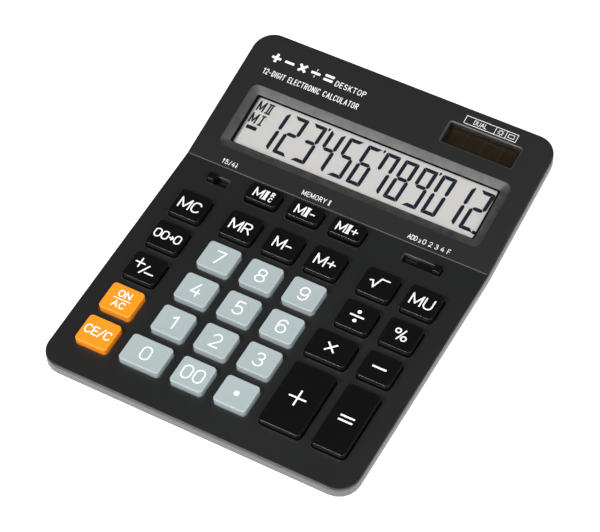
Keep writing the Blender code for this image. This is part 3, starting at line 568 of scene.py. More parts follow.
def line(*points):
    """A straight stroke or a bent one through a few points."""
    return np.asarray(points, float)


def oval(width):
    """A closed upright loop with straight sides."""
    half = width / 2
    top = bow(half, 1 - half, half, half, 0, 180)
    foot = bow(half, half, half, half, 180, 360)
    return join(top, foot, top[:1])


def glyphs():
    """Width and strokes of each sign."""
    d = 0.63
    h = d / 2
    six = [
        join(bow(h, 1 - h, h, h, 35, 180), bow(h, h * 0.98, h, h * 0.98, 180, 540, 30)),
    ]
    nine = [np.array([d, 1.0]) - stroke for stroke in six]
    return {
        "0": (d, [oval(d)]),
        "1": (0.34, [line((0.02, 0.80), (0.30, 1.0)), line((0.30, 1.0), (0.30, 0.0))]),
        "2": (
            d,
            [
                join(bow(h, 1 - h * 0.94, h * 0.94, h * 0.94, 165, -38), [(0.0, 0.0)]),
                line((0.0, 0.0), (d, 0.0))
            ]
        ),
        "3": (d, [bow(0.30, 0.755, 0.27, 0.245, 155, -90), bow(0.30, 0.27, 0.32, 0.27, 90, -155)]),
        "4": (
            d,
            [line((0.42, 1.0), (0.0, 0.28)), line((0.0, 0.28), (d, 0.28)), line((0.47, 0.56), (0.47, 0.0))]
        ),
        "5": (
            d,
            [
                line((0.56, 1.0), (0.10, 1.0)), line((0.10, 1.0), (0.06, 0.53)),
                join([(0.06, 0.53)], bow(0.30, 0.32, 0.33, 0.32, 120, -150, 24))
            ]
        ),
        "6": (d, six),
        "7": (d, [line((0.0, 1.0), (d, 1.0)), line((d, 1.0), (0.20, 0.0))]),
        "8": (d, [bow(h, 0.755, 0.27, 0.245, 0, 360, 26), bow(h, 0.265, 0.315, 0.265, 0, 360, 28)]),
        "9": (d, nine),
        "A": (
            0.70,
            [
                line((0.0, 0.0), (0.35, 1.0)), line((0.35, 1.0), (0.70, 0.0)),
                line((0.12, 0.34), (0.58, 0.34))
            ]
        ),
        "B": (
            0.58,
            [
                line((0.0, 0.0), (0.0, 1.0)),
                join([(0.0, 1.0)], bow(0.30, 0.76, 0.25, 0.24, 90, -90), [(0.0, 0.52)]),
                join([(0.0, 0.52)], bow(0.30, 0.26, 0.28, 0.26, 90, -90), [(0.0, 0.0)])
            ]
        ),
        "C": (0.66, [join(bow(0.33, 0.67, 0.33, 0.33, 25, 180), bow(0.33, 0.33, 0.33, 0.33, 180, 335))]),
        "D": (
            0.60,
            [
                line((0.0, 0.0), (0.0, 1.0)),
                join(
                    [(0.0, 1.0)], bow(0.20, 0.60, 0.40, 0.40, 90, 0), bow(0.20, 0.40, 0.40, 0.40, 0, -90),
                    [(0.0, 0.0)]
                )
            ]
        ),
        "E": (
            0.52,
            [
                line((0.0, 0.0), (0.0, 1.0)), line((0.0, 1.0), (0.52, 1.0)),
                line((0.0, 0.52), (0.46, 0.52)), line((0.0, 0.0), (0.52, 0.0))
            ]
        ),
        "F": (
            0.52,
            [line((0.0, 0.0), (0.0, 1.0)), line((0.0, 1.0), (0.52, 1.0)), line((0.0, 0.50), (0.44, 0.50))]
        ),
        "G": (
            0.66,
            [
                join(
                    bow(0.33, 0.67, 0.33, 0.33, 30, 180), bow(0.33, 0.33, 0.33, 0.33, 180, 360),
                    [(0.66, 0.46)]
                ),
                line((0.66, 0.46), (0.38, 0.46))
            ]
        ),
        "I": (0.0, [line((0.0, 0.0), (0.0, 1.0))]),
        "K": (
            0.60,
            [line((0.0, 0.0), (0.0, 1.0)), line((0.58, 1.0), (0.0, 0.40)), line((0.20, 0.60), (0.60, 0.0))]
        ),
        "L": (0.50, [line((0.0, 1.0), (0.0, 0.0)), line((0.0, 0.0), (0.50, 0.0))]),
        "M": (
            0.84,
            [
                line((0.0, 0.0), (0.0, 1.0)), line((0.0, 1.0), (0.42, 0.14)),
                line((0.42, 0.14), (0.84, 1.0)), line((0.84, 1.0), (0.84, 0.0))
            ]
        ),
        "N": (
            0.64,
            [line((0.0, 0.0), (0.0, 1.0)), line((0.0, 1.0), (0.64, 0.0)), line((0.64, 0.0), (0.64, 1.0))]
        ),
        "O": (0.68, [oval(0.68)]),
        "P": (
            0.58,
            [
                line((0.0, 0.0), (0.0, 1.0)),
                join([(0.0, 1.0)], bow(0.30, 0.74, 0.28, 0.26, 90, -90), [(0.0, 0.48)])
            ]
        ),
        "R": (
            0.62,
            [
                line((0.0, 0.0), (0.0, 1.0)),
                join([(0.0, 1.0)], bow(0.32, 0.745, 0.27, 0.255, 90, -90), [(0.0, 0.49)]),
                line((0.32, 0.49), (0.62, 0.0))
            ]
        ),
        "S": (0.60, [join(bow(0.30, 0.75, 0.28, 0.25, 20, 270), bow(0.30, 0.25, 0.30, 0.25, 90, -160))]),
        "T": (0.64, [line((0.0, 1.0), (0.64, 1.0)), line((0.32, 1.0), (0.32, 0.0))]),
        "U": (0.66, [join([(0.0, 1.0)], bow(0.33, 0.33, 0.33, 0.33, 180, 360), [(0.66, 1.0)])]),
        "Y": (
            0.66,
            [
                line((0.0, 1.0), (0.33, 0.48)), line((0.66, 1.0), (0.33, 0.48)),
                line((0.33, 0.48), (0.33, 0.0))
            ]
        ),
        "-": (0.42, [line((0.0, 0.44), (0.42, 0.44))]),
        "+": (0.60, [line((0.0, 0.46), (0.60, 0.46)), line((0.30, 0.76), (0.30, 0.16))]),
        "/": (0.46, [line((0.0, -0.05), (0.46, 1.05))]),
        " ": (0.28, []),
        ">": (
            0.40,
            [
                line((0.0, 0.46), (0.40, 0.46)), line((0.24, 0.66), (0.42, 0.46)),
                line((0.24, 0.26), (0.42, 0.46))
            ]
        ),
        "^": (
            0.36,
            [
                line((0.18, 0.0), (0.18, 1.0)), line((0.0, 0.70), (0.18, 1.0)),
                line((0.36, 0.70), (0.18, 1.0))
            ]
        ),
        "v": (
            0.36,
            [
                line((0.18, 0.0), (0.18, 1.0)), line((0.0, 0.30), (0.18, 0.0)),
                line((0.36, 0.30), (0.18, 0.0))
            ]
        ),
        "_II": (
            0.42,
            [
                line((0.06, 0.0), (0.36, 0.0)), line((0.06, 1.0), (0.36, 1.0)),
                line((0.13, 0.0), (0.13, 1.0)), line((0.29, 0.0), (0.29, 1.0))
            ]
        ),
    }


GLYPHS = glyphs()


def word(text, high, gap=0.20, narrow=1.0):
    """Strokes of a line of text with its middle at the origin; a list of signs may hold longer names."""
    strokes = []
    pen = 0.0
    for sign in text:
        wide, runs = GLYPHS[sign]
        strokes += [run * np.array([narrow, 1.0]) + np.array([pen, 0.0]) for run in runs]
        pen += wide * narrow + gap
    middle = np.array([(pen - gap) / 2, 0.5])
    return [(run - middle) * high for run in strokes], (pen - gap) * high


def place(strokes, x, v):
    """Strokes moved to a point."""
    return [run + np.array([x, v]) for run in strokes]


def smooth_run(run, step):
    """A stroke with its long straight parts cut into steps, so a profile carried along it stays even."""
    pieces = [run[:1]]
    for start, end in zip(run[:-1], run[1:]):
        count = max(int(np.ceil(np.linalg.norm(end - start) / step)), 1)
        share = np.linspace(0, 1, count + 1)[1:, None]
        pieces.append(start + (end - start) * share)
    return np.concatenate(pieces)


def inked_strokes(skin, strokes, thick, base, lift, rise=0.00004, round_end=1.0):
    """Flat ribbons: a low trapezium carried along each stroke.

    At each end the trapezium shrinks by the cosine of a quarter turn as it moves out by the sine, both
    times the roundness of the end.
    """
    half = thick / 2
    across = np.array([-1.0, -0.86, 0.86, 1.0, 0.9, -0.9])
    up = np.array([0.0, 1.0, 1.0, 0.0, -1.0, -1.0])
    turn = np.linspace(math.pi / 2, 0.0, 5)
    for n, run in enumerate(strokes):
        run = smooth_run(run, thick * 1.5)
        closed = np.allclose(run[0], run[-1], atol=1e-7)
        if closed:
            path = run[:-1]
            along = np.roll(path, -1, 0) - np.roll(path, 1, 0)
        else:
            path = run
            along = np.gradient(run, axis=0)
        along = along / np.maximum(np.linalg.norm(along, axis=1, keepdims=True), 1e-12)
        side = np.stack([-along[:, 1], along[:, 0]], -1)
        scale = np.ones(len(path))
        if not closed:
            reach = half * round_end
            start = run[0] - along[0] * reach * np.sin(turn)[:, None]
            finish = run[-1] + along[-1] * reach * np.sin(turn[::-1])[:, None]
            path = np.concatenate([start, run, finish])
            side = np.concatenate([np.repeat(side[:1], 5, 0), side, np.repeat(side[-1:], 5, 0)])
            taper = 1 - round_end * (1 - np.cos(turn))
            scale = np.concatenate([taper, scale, taper[::-1]])
            scale = np.maximum(scale, 0.04)
        flat = path[:, None, :] + side[:, None, :] * (across * scale[:, None] * half)[..., None]
        height = base + 0.000004 * (n % 3) + rise * up[None, :] * np.ones((len(path), 1))
        points = lift(np.concatenate([flat, height[..., None]], -1).reshape(-1, 3))
        rings = list(points.reshape(len(path), 6, 3)[:, ::-1])
        if closed:
            skin.rings(rings + rings[:1])
        else:
            skin.rings(rings, 0.0, first=True, last=True)


def ink_piece(name, strokes, thick, base, lift, body, finish_as, blunt=()):
    """One piece of raised strokes: printed lettering, the painted highlight bead along the fold and the
    locating ring; the groups named as blunt have nearly square ends.
    """
    skin = Skin()
    for n, (group, wide) in enumerate(zip(strokes, thick)):
        inked_strokes(skin, group, wide, base, lift, round_end=0.25 if n in blunt else 1.0)
    made = skin.finish(name, 60.0, 1e-7)
    made.data.materials.append(finish_as)
    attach(made, body)
    return made


def dot(x, y):
    """A stroke so short that its two round ends make a spot as wide as the stroke is thick."""
    return line((x - 0.00001, y), (x + 0.00001, y))


def legend_strokes(settings):
    """Name of each key with the strokes of its legend and their thickness, in metres from its middle."""
    mm = 0.001
    thin = settings.legend_stroke

    def text(line_text, high, gap=0.20, narrow=1.0):
        return word(line_text, high * mm, gap, narrow)[0]

    found = {}
    for sign in "123456789":
        found["key_" + sign] = [(text(sign, 6.7), thin)]
    found["key_0"] = [(text("0", 6.7), thin)]
    found["key_00"] = [(text("00", 6.7, 0.24), thin)]
    found["key_point"] = [([dot(0, 0)], 2.6 * mm)]
    found["key_memory_clear"] = [(text("MC", 5.4, 0.24, 1.1), thin)]
    found["key_memory_recall"] = [(text("MR", 5.4, 0.26, 1.1), thin)]
    found["key_markup"] = [(text("MU", 5.4, 0.26, 1.1), thin)]
    found["key_memory_minus"] = [(text("M-", 5.4, 0.22, 1.05), thin)]
    found["key_memory_plus"] = [(text("M+", 5.4, 0.26, 1.05), thin)]
    found["key_delete"] = [(text("00>0", 4.3, 0.20, 1.05), thin * 0.9)]
    plus = [line((-5.4, 1.6), (-1.0, 1.6)) * mm, line((-3.2, 4.0), (-3.2, -0.8)) * mm]
    found["key_sign"] = [
        (plus + [line((-1.2, -3.5), (1.6, 1.5)) * mm, line((1.2, -2.4), (5.2, -2.4)) * mm], thin)
    ]
    found["key_on_all_clear"] = [
        (
            place(text("ON", 3.1, 0.30, 1.2), 0.0, 2.9 * mm)
            + place(text("AC", 3.1, 0.30, 1.2), 0.0, -2.9 * mm),
            thin * 0.82
        ),
        ([line((-4.1, 0.0), (4.1, 0.0)) * mm], 0.5 * mm),
    ]
    found["key_clear_entry"] = [(text("CE/C", 4.1, 0.22, 1.03), thin * 0.90)]
    found["key_root"] = [
        (
            [
                line((-4.2, 0.4), (-2.9, 0.9)) * mm, line((-2.9, 0.9), (-1.6, -2.6)) * mm,
                line((-1.6, -2.6), (0.4, 2.9)) * mm, line((0.4, 2.9), (4.2, 2.9)) * mm
            ],
            thin
        )
    ]
    found["key_divide"] = [
        ([line((-3.3, 0.0), (3.3, 0.0)) * mm], 0.85 * mm),
        ([dot(0, 2.5 * mm), dot(0, -2.5 * mm)], 1.9 * mm),
    ]
    found["key_multiply"] = [
        ([line((-2.2, -2.2), (2.2, 2.2)) * mm, line((-2.2, 2.2), (2.2, -2.2)) * mm], 0.82 * mm)
    ]
    found["key_plus"] = [
        ([line((-4.1, 0.0), (4.1, 0.0)) * mm, line((0.0, -4.1), (0.0, 4.1)) * mm], 0.82 * mm)
    ]
    found["key_minus"] = [([line((-3.3, 0.0), (3.3, 0.0)) * mm], 0.95 * mm)]
    found["key_equals"] = [
        ([line((-3.3, 1.15), (3.3, 1.15)) * mm, line((-3.3, -1.15), (3.3, -1.15)) * mm], 0.9 * mm)
    ]
    found["key_percent"] = [([
        bow(-1.95 * mm, 1.6 * mm, 1.15 * mm, 1.15 * mm, 0, 360, 20),
        bow(1.95 * mm, -1.5 * mm, 1.15 * mm, 1.15 * mm, 0, 360, 20),
        line((-0.9, -2.7), (1.3, 2.7)) * mm,
    ], thin)]
    two = "_II"
    found["key_memory_two_minus"] = [(text(["M", two, "-"], 4.6, 0.16, 1.0), thin * 0.9)]
    found["key_memory_two_plus"] = [(text(["M", two, "+"], 4.6, 0.16, 1.0), thin * 0.9)]
    small = place(text("R", 2.1), 4.1 * mm, 1.5 * mm) + place(text("C", 2.1), 4.1 * mm, -1.5 * mm)
    found["key_memory_two_recall"] = [
        (place(text(["M", two], 4.6, 0.16, 1.0), -1.1 * mm, 0.0), thin * 0.9),
        (small, thin * 0.75),
    ]
    return found


def on_key_top(name, settings):
    """A function that lays (x, v, w) points, w over the crown, on a key's dished top.

    The crown sinks by the dish times one minus the square of how far out a point is, as a share.
    """
    x, v, width, depth = key_place(name)
    half = np.array([width, depth]) / 2 - settings.key_round

    def lay(points):
        share = np.max(np.abs(points[:, :2] - np.array([x, v])) / half, axis=1)
        sunk = settings.key_dish * (1 - np.minimum(share, 1.0) ** 2)
        return on_keys(points + np.stack([sunk * 0, sunk * 0, KEY_RISE - sunk], -1))

    return lay


def build_legends(settings):
    """A printed legend on every key, riding with it, and a fine raised ring on the middle key."""
    ink = ink_paint("legend_ink", settings.legend_colour)
    for name, groups in legend_strokes(settings).items():
        x, v, width, depth = key_place(name)
        strokes = [place(group, x, v) for group, wide in groups]
        thick = [wide for group, wide in groups]
        lay = on_key_top(name, settings)
        blunt = (0,) if name in PLAIN_SIGNS else ()
        ink_piece(name.replace("key_", "legend_"), strokes, thick, 0.00003, lay, name, ink, blunt=blunt)
    x, v, width, depth = key_place("key_5")
    ring = [[bow(x, v, 0.0042, 0.0042, 0, 360, 48)]]
    plastic = key_plastic("key_grey_moulded", settings.grey_key_colour, "grey")
    lay = on_key_top("key_5", settings)
    ink_piece("locating_ring", ring, [0.00040], 0.0, lay, "key_5", plastic)


# ---- switches ----
def build_switches(settings):
    """The two slider knobs, each a stepped stack of rounded rectangles with eased top edges."""
    finish_as = key_plastic("slider_black_moulded", settings.black_key_colour, "black")
    plate_low = FLANGE_TOP - 0.0006
    stem_low = plate_low - 0.0009 - 0.0012
    places = (
        ("rounding_switch", ROUNDING_X, ROUNDING_TRAVEL, 0.0),
        ("decimal_switch", DECIMAL_X, -DECIMAL_TRAVEL, 0.0104)
    )
    for name, x, travel, pad in places:
        reach = KNOB_LONG / 2 + abs(travel) + 0.0010
        high = min(reach, WIDTH / 2 - BAND_WALL - FIT - LIP_WALL - 0.0010 - x)
        plate = ((high - reach) / 2, 0.0, high + reach, SLOT_WIDTH + 0.0018, 0.0003)
        stem = (0.0, 0.0, 0.0024, 0.0014, 0.0002)
        knob = (0.0, 0.0, KNOB_LONG, SLOT_WIDTH - 2 * FIT, 0.0005)
        stack = [
            (stem, 0.0, stem_low), (stem, 0.0, plate_low), (plate, 0.0, plate_low), (plate, 0.0, FLANGE_TOP)
        ]
        if pad:
            middle = ((KNOB_LONG / 2 - pad) / 2, 0.0, KNOB_LONG / 2 + pad, SLOT_WIDTH - 2 * FIT, 0.0003)
            stack += [
                (middle, 0.0, FLANGE_TOP), (middle, 0.0, -0.0012), (middle, -0.0001, -0.0011),
                (knob, 0.0, -0.0011)
            ]
        else:
            stack += [(knob, 0.0, FLANGE_TOP)]
        for inward, drop in quarter(0.0004, 0.0004, 4)[::-1]:
            stack.append((knob, -inward, KNOB_RISE - drop))
        rings = [on_keys(grown(loop, grow, w) + np.array([x, SWITCH_V, 0.0])) for loop, grow, w in stack]
        skin = Skin()
        skin.rings(rings, 0.2, first=True, last=True)
        made = skin.finish(name + "_knob", 40.0)
        made.data.materials.append(finish_as)
        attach(made, name)
        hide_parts(name)


# ---- display ----
DIGIT_X = -0.04775
DIGIT_V = 0.02889
DIGIT_PITCH = 0.00947
DIGIT_HALF = 0.00362
DIGIT_TOP = 0.01005
DIGIT_LOW = -0.01135
BAR = 0.0018
BAR_GAP = 0.00013
SLANT = 0.058
BORDER_X = 0.0012
BORDER_V = 0.0005


def segment_shapes():
    """Outlines of the seven bars round the middle of the middle one, mitred where two of them meet."""
    h, t, g = DIGIT_HALF, BAR, BAR_GAP
    high, low = DIGIT_TOP, DIGIT_LOW
    cut = 0.0004
    level = np.array([(-h + 2 * g, 0.0), (h - 2 * g, 0.0), (h - 2 * g - t, -t), (-h + 2 * g + t, -t)])
    middle = [(-h + t / 2 + g, 0.0), (-h + t + g, -t / 2), (h - t - g, -t / 2)]
    middle += [(-x, -y) for x, y in middle]
    upper = np.array([
        (h, high - 2 * g - cut), (h - cut, high - 2 * g), (h - t, high - 2 * g - t + cut),
        (h - t, t / 2 + g), (h - t / 2, g), (h, t / 2 + g),
    ])
    lower = np.array([
        (h, low + 2 * g + cut), (h, -t / 2 - g), (h - t / 2, -g), (h - t, -t / 2 - g),
        (h - t, low + 2 * g + t - cut), (h - cut, low + 2 * g),
    ])
    flip = np.array([-1.0, 1.0])
    return {
        "a": level + np.array([0.0, high]),
        "d": level * np.array([1.0, -1.0]) + np.array([0.0, low]),
        "g": np.array(middle),
        "b": upper,
        "c": lower,
        "f": upper * flip,
        "e": lower * flip,
    }


SEGMENTS_ON = {
    "0": "abcdef", "1": "bc", "2": "abdeg", "3": "abcdg", "4": "bcfg",
    "5": "acdfg", "6": "acdefg", "7": "abcf", "8": "abcdefg", "9": "abcdfg",
}


def turned_left(outline):
    """An outline with its points in the anticlockwise order."""
    x, y = outline[:, 0], outline[:, 1]
    area = np.sum(x * np.roll(y, -1) - y * np.roll(x, -1))
    return outline if area > 0 else outline[::-1]


def build_digits(settings):
    """Twelve seven-segment digits with their marks: each bar a thin slab that leans with the digit."""
    mm = 0.001
    shapes = segment_shapes()
    middle = np.array([DIGIT_X, DIGIT_V])
    outlines = []
    for n, sign in enumerate("123456789012"):
        for bar in SEGMENTS_ON[sign]:
            leaned = shapes[bar] + np.stack([shapes[bar][:, 1] * SLANT, np.zeros(len(shapes[bar]))], -1)
            outlines.append(leaned + middle + np.array([n * DIGIT_PITCH, 0.0]))
    tick = np.array([(-0.55, 0.2), (-0.35, -1.0), (0.1, -0.9), (0.65, 0.1), (0.4, 0.8), (-0.3, 0.8)]) * mm
    for n in (2, 5, 8):
        outlines.append(tick + middle + np.array([n * DIGIT_PITCH + 5.1 * mm, 9.7 * mm]))
    outlines.append(circle(DIGIT_X + 11 * DIGIT_PITCH + 3.4 * mm, DIGIT_V - 10.9 * mm, 0.95 * mm, 16))
    outlines.append(rounded(-57.3 * mm, 25.0 * mm, 5.3 * mm, 1.95 * mm, 0.3 * mm, 3))
    skin = Skin()
    for outline in outlines:
        ring = turned_left(outline)
        rings = [on_display(at_level(ring, LCD_TOP + level)) for level in (0.00004, 0.00010)]
        skin.rings(rings, 0.0, first=True, last=True)

    sign = line((0.0, 0.0), (0.0, 5.0)) * mm
    peak = [line((0.0, 5.0), (1.45, 0.7)) * mm, line((1.45, 0.7), (2.9, 5.0)) * mm]
    letter = [sign] + peak + [sign + np.array([2.9 * mm, 0.0])]
    both = [line((0.0, 0.0), (2.3, 0.0)) * mm, line((0.0, 5.0), (2.3, 5.0)) * mm]
    two = both + [sign + np.array([0.6 * mm, 0.0]), sign + np.array([1.75 * mm, 0.0])]
    one = [
        line((0.0, 0.0), (1.4, 0.0)) * mm, line((0.0, 5.0), (1.4, 5.0)) * mm,
        sign + np.array([0.7 * mm, 0.0])
    ]
    marks = place(letter, -60.1 * mm, 34.4 * mm) + place(two, -55.6 * mm, 34.4 * mm)
    marks += place(letter, -60.1 * mm, 27.55 * mm) + place(one, -55.3 * mm, 27.55 * mm)
    lean = [run + np.stack([(run[:, 1] - 30 * mm) * SLANT, np.zeros(len(run))], -1) for run in marks]
    inked_strokes(skin, lean, 0.78 * mm, LCD_TOP + 0.00007, on_display, 0.00003)
    made = skin.finish("display_digits", 30.0, 1e-7)
    made.data.materials.append(ink_paint("segment_ink", settings.segment_colour, 0.35))
    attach(made, "case")


def build_window_shade_border():
    """Matte black sleeve and border round the window, painted shade: a thin sleeve on the opening's wall where
    it lies in shade, and a flat border on the glass that darkens the panel's edges.

    Its profile of (ring, level) pairs runs once round the section and closes on itself.
    """
    long = RECESS_WIDTH - 2 * RECESS_WALL
    wide = RECESS_LENGTH - 2 * RECESS_WALL
    opening = (0.0, RECESS_V, long, wide, 0.0010)
    border = (0.0, RECESS_V, long - 2 * BORDER_X, wide - 2 * BORDER_V, 0.0008)
    face = -WINDOW_STEP - 0.00010
    back = -WINDOW_STEP - 0.00020
    section = (
        (opening, -0.00002, -RECESS_DEPTH - 0.00030),
        (opening, -0.00012, -RECESS_DEPTH - 0.00032),
        (opening, -0.00012, face),
        (border, 0.0, face),
        (border, 0.0, back),
        (opening, 0.00100, back),
        (opening, 0.00100, -WINDOW_STEP - 0.00005),
        (opening, -0.00002, -WINDOW_STEP - 0.00005),
    )
    rings = [on_display(grown(loop, grow, w)) for loop, grow, w in section]
    skin = Skin()
    skin.rings(rings + rings[:1])
    made = skin.finish("display_shade_border", 30.0, 1e-7)
    # near-black matte sleeve and border: painted shade in the window opening
    made.data.materials.append(moulded("black_border_painted_shade", (0.004, 0.004, 0.004), 0.8, 0.1, 2400.0, 0.00001))
    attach(made, "case")


def build_prints(settings):
    """Plain lettering on the case: arithmetic signs, what the calculator is, and the switch marks."""
    mm = 0.001
    ink = ink_paint("case_ink", settings.legend_colour, 0.5)
    bold = []
    for n, sign in enumerate(("+", "-", "x", "/", "=")):
        x = -63.0 * mm + n * 6.9 * mm
        v = 61.0 * mm
        if sign == "+":
            strokes = [line((-2.2, 0), (2.2, 0)) * mm, line((0, -2.2), (0, 2.2)) * mm]
        elif sign == "-":
            strokes = [line((-2.2, 0), (2.2, 0)) * mm]
        elif sign == "x":
            strokes = [line((-1.7, -1.7), (1.7, 1.7)) * mm, line((-1.7, 1.7), (1.7, -1.7)) * mm]
        elif sign == "/":
            strokes = [line((-2.2, 0), (2.2, 0)) * mm, dot(0, 1.8 * mm), dot(0, -1.8 * mm)]
        else:
            strokes = [line((-2.2, 1.1), (2.2, 1.1)) * mm, line((-2.2, -1.1), (2.2, -1.1)) * mm]
        bold += place(strokes, x, v)
    title, wide = word("DESKTOP", 2.7 * mm, 0.34, 0.86)
    title = place(title, -23.6 * mm, 59.9 * mm)
    maker, wide = word("12-DIGIT ELECTRONIC CALCULATOR", 2.75 * mm, 0.34, 0.74)
    stretch = 49.2 * mm / wide
    maker = [run * np.array([stretch, 1.0]) for run in maker]
    maker = place(maker, -40.8 * mm, 52.8 * mm)
    thick = [1.25 * mm, 0.36 * mm]
    ink_piece("case_title_print", [bold, title + maker], thick, 0.00002, on_display, "case", ink, blunt=(0,))

    small = []
    small += place(word("^5/4v", 2.2 * mm, 0.30, 0.9)[0], -55.6 * mm, 3.0 * mm)
    small += place(word("MEMORY", 2.3 * mm, 0.32, 0.85)[0], -12.2 * mm, 3.3 * mm)
    small += place(word(["_II"], 2.4 * mm)[0], -4.4 * mm, 3.3 * mm)
    small += place(word("ADD", 2.2 * mm, 0.18, 0.85)[0], 37.5 * mm, 3.2 * mm)
    small += place(word("2", 1.4 * mm, 0.18, 0.9)[0], 41.2 * mm, 2.7 * mm)
    for sign, x in zip("0234F", (43.3, 46.4, 49.4, 52.3, 55.4)):
        small += place(word(sign, 2.2 * mm)[0], x * mm, 3.2 * mm)
    ink_piece("switch_marks_print", [small], [0.28 * mm], 0.00002, on_display, "case", ink)

    badge = []
    left, right, low, high = 31.6, 57.4, 65.0, 69.0
    corners = [(left, low), (right, low), (right, high), (left, high), (left, low)]
    badge += [line(a, b) * mm for a, b in zip(corners[:-1], corners[1:])]
    badge += [line((46.6, low), (46.6, high)) * mm, line((52.0, low), (52.0, high)) * mm]
    badge += place(word("DUAL", 2.2 * mm, 0.22, 0.9)[0], 39.2 * mm, 67.0 * mm)
    badge += [bow(49.3 * mm, 67.0 * mm, 0.9 * mm, 0.9 * mm, 0, 360, 18)]
    for turn in range(8):
        a = math.radians(45 * turn)
        badge.append(
            line(
                (49.3 + 1.25 * math.cos(a), 67 + 1.25 * math.sin(a)),
                (49.3 + 1.55 * math.cos(a), 67 + 1.55 * math.sin(a))
            ) * mm
        )
    badge += [
        line((53.2, 66.1), (56.0, 66.1)) * mm, line((53.2, 67.9), (56.0, 67.9)) * mm,
        line((53.2, 66.1), (53.2, 67.9)) * mm, line((56.0, 66.1), (56.0, 67.9)) * mm
    ]
    ink_piece("power_badge_print", [badge], [0.26 * mm], 0.00002, on_display, "case", ink)


# ---- finishes shared by the pieces ----
def new_group(name, inputs, outputs):
    """Shader node group with named sockets; the same group is handed out each time."""
    group = bpy.data.node_groups.get(name)
    if group:
        return group, False
    group = bpy.data.node_groups.new(name, "ShaderNodeTree")
    for label, kind, value in inputs:
        socket = group.interface.new_socket(label, in_out="INPUT", socket_type="NodeSocket" + kind)
        socket.default_value = value
    for label, kind in outputs:
        group.interface.new_socket(label, in_out="OUTPUT", socket_type="NodeSocket" + kind)
    group.nodes.new("NodeGroupInput").name = "in"
    group.nodes.new("NodeGroupOutput").name = "out"
    return group, True


def node(tree, kind, **values):
    """A node with some of its properties and unlinked inputs set."""
    made = tree.nodes.new(kind)
    for key, value in values.items():
        if key in made.inputs:
            made.inputs[key].default_value = value
        else:
            setattr(made, key, value)
    return made


def maths(tree, operation, first, second=None, third=None):
    """A maths node; each of its values is a number or a socket."""
    made = tree.nodes.new("ShaderNodeMath")
    made.operation = operation
    for slot, value in zip(made.inputs, (first, second, third)):
        if value is None:
            continue
        if isinstance(value, (int, float)):
            slot.default_value = value
        else:
            tree.links.new(value, slot)
    return made.outputs[0]


def blend_colour(tree, share, first, second, how="MIX"):
    """Mix of two colours; each value is a colour, a number or a socket."""
    made = tree.nodes.new("ShaderNodeMix")
    made.data_type = "RGBA"
    made.blend_type = how
    for slot, value in ((made.inputs[0], share), (made.inputs[6], first), (made.inputs[7], second)):
        if isinstance(value, bpy.types.NodeSocket):
            tree.links.new(value, slot)
        else:
            slot.default_value = value
    return made.outputs[2]


def colour4(colour):
    """A colour with full opacity."""
    return (colour[0], colour[1], colour[2], 1.0)


def moulded_grain():
    """Group: fine grain for the bump, and slow clouds that shade the colour and the roughness."""
    inputs = (
        ("Colour", "Color", (0.5, 0.5, 0.5, 1.0)),
        ("Grain Scale", "Float", 2500.0),
        ("Cloud Scale", "Float", 30.0),
        ("Cloud Shade", "Float", 0.08),
        ("Roughness", "Float", 0.5),
        ("Roughness Spread", "Float", 0.1),
    )
    outputs = (("Colour", "Color"), ("Roughness", "Float"), ("Height", "Float"))
    group, fresh = new_group("moulded_grain", inputs, outputs)
    if not fresh:
        return group
    source, sink = group.nodes["in"], group.nodes["out"]
    place_on = node(group, "ShaderNodeTexCoord")
    grain = node(group, "ShaderNodeTexNoise", Detail=3.0, Roughness=0.6)
    clouds = node(group, "ShaderNodeTexNoise", Detail=4.0, Roughness=0.55)
    for texture, scale in ((grain, "Grain Scale"), (clouds, "Cloud Scale")):
        group.links.new(place_on.outputs["Object"], texture.inputs["Vector"])
        group.links.new(source.outputs[scale], texture.inputs["Scale"])
    slow = maths(group, "SUBTRACT", clouds.outputs["Fac"], 0.5)
    quick = maths(group, "SUBTRACT", grain.outputs["Fac"], 0.5)
    both = maths(group, "MULTIPLY_ADD", quick, 0.5, slow)
    shade = maths(group, "MULTIPLY_ADD", both, source.outputs["Cloud Shade"], 1.0)
    grey = node(group, "ShaderNodeCombineColor")
    for channel in grey.inputs:
        group.links.new(shade, channel)
    tinted = blend_colour(group, 1.0, source.outputs["Colour"], grey.outputs[0], "MULTIPLY")
    rough = maths(
        group, "MULTIPLY_ADD", both, source.outputs["Roughness Spread"], source.outputs["Roughness"]
    )
    group.links.new(tinted, sink.inputs["Colour"])
    group.links.new(rough, sink.inputs["Roughness"])
    group.links.new(grain.outputs["Fac"], sink.inputs["Height"])
    return group


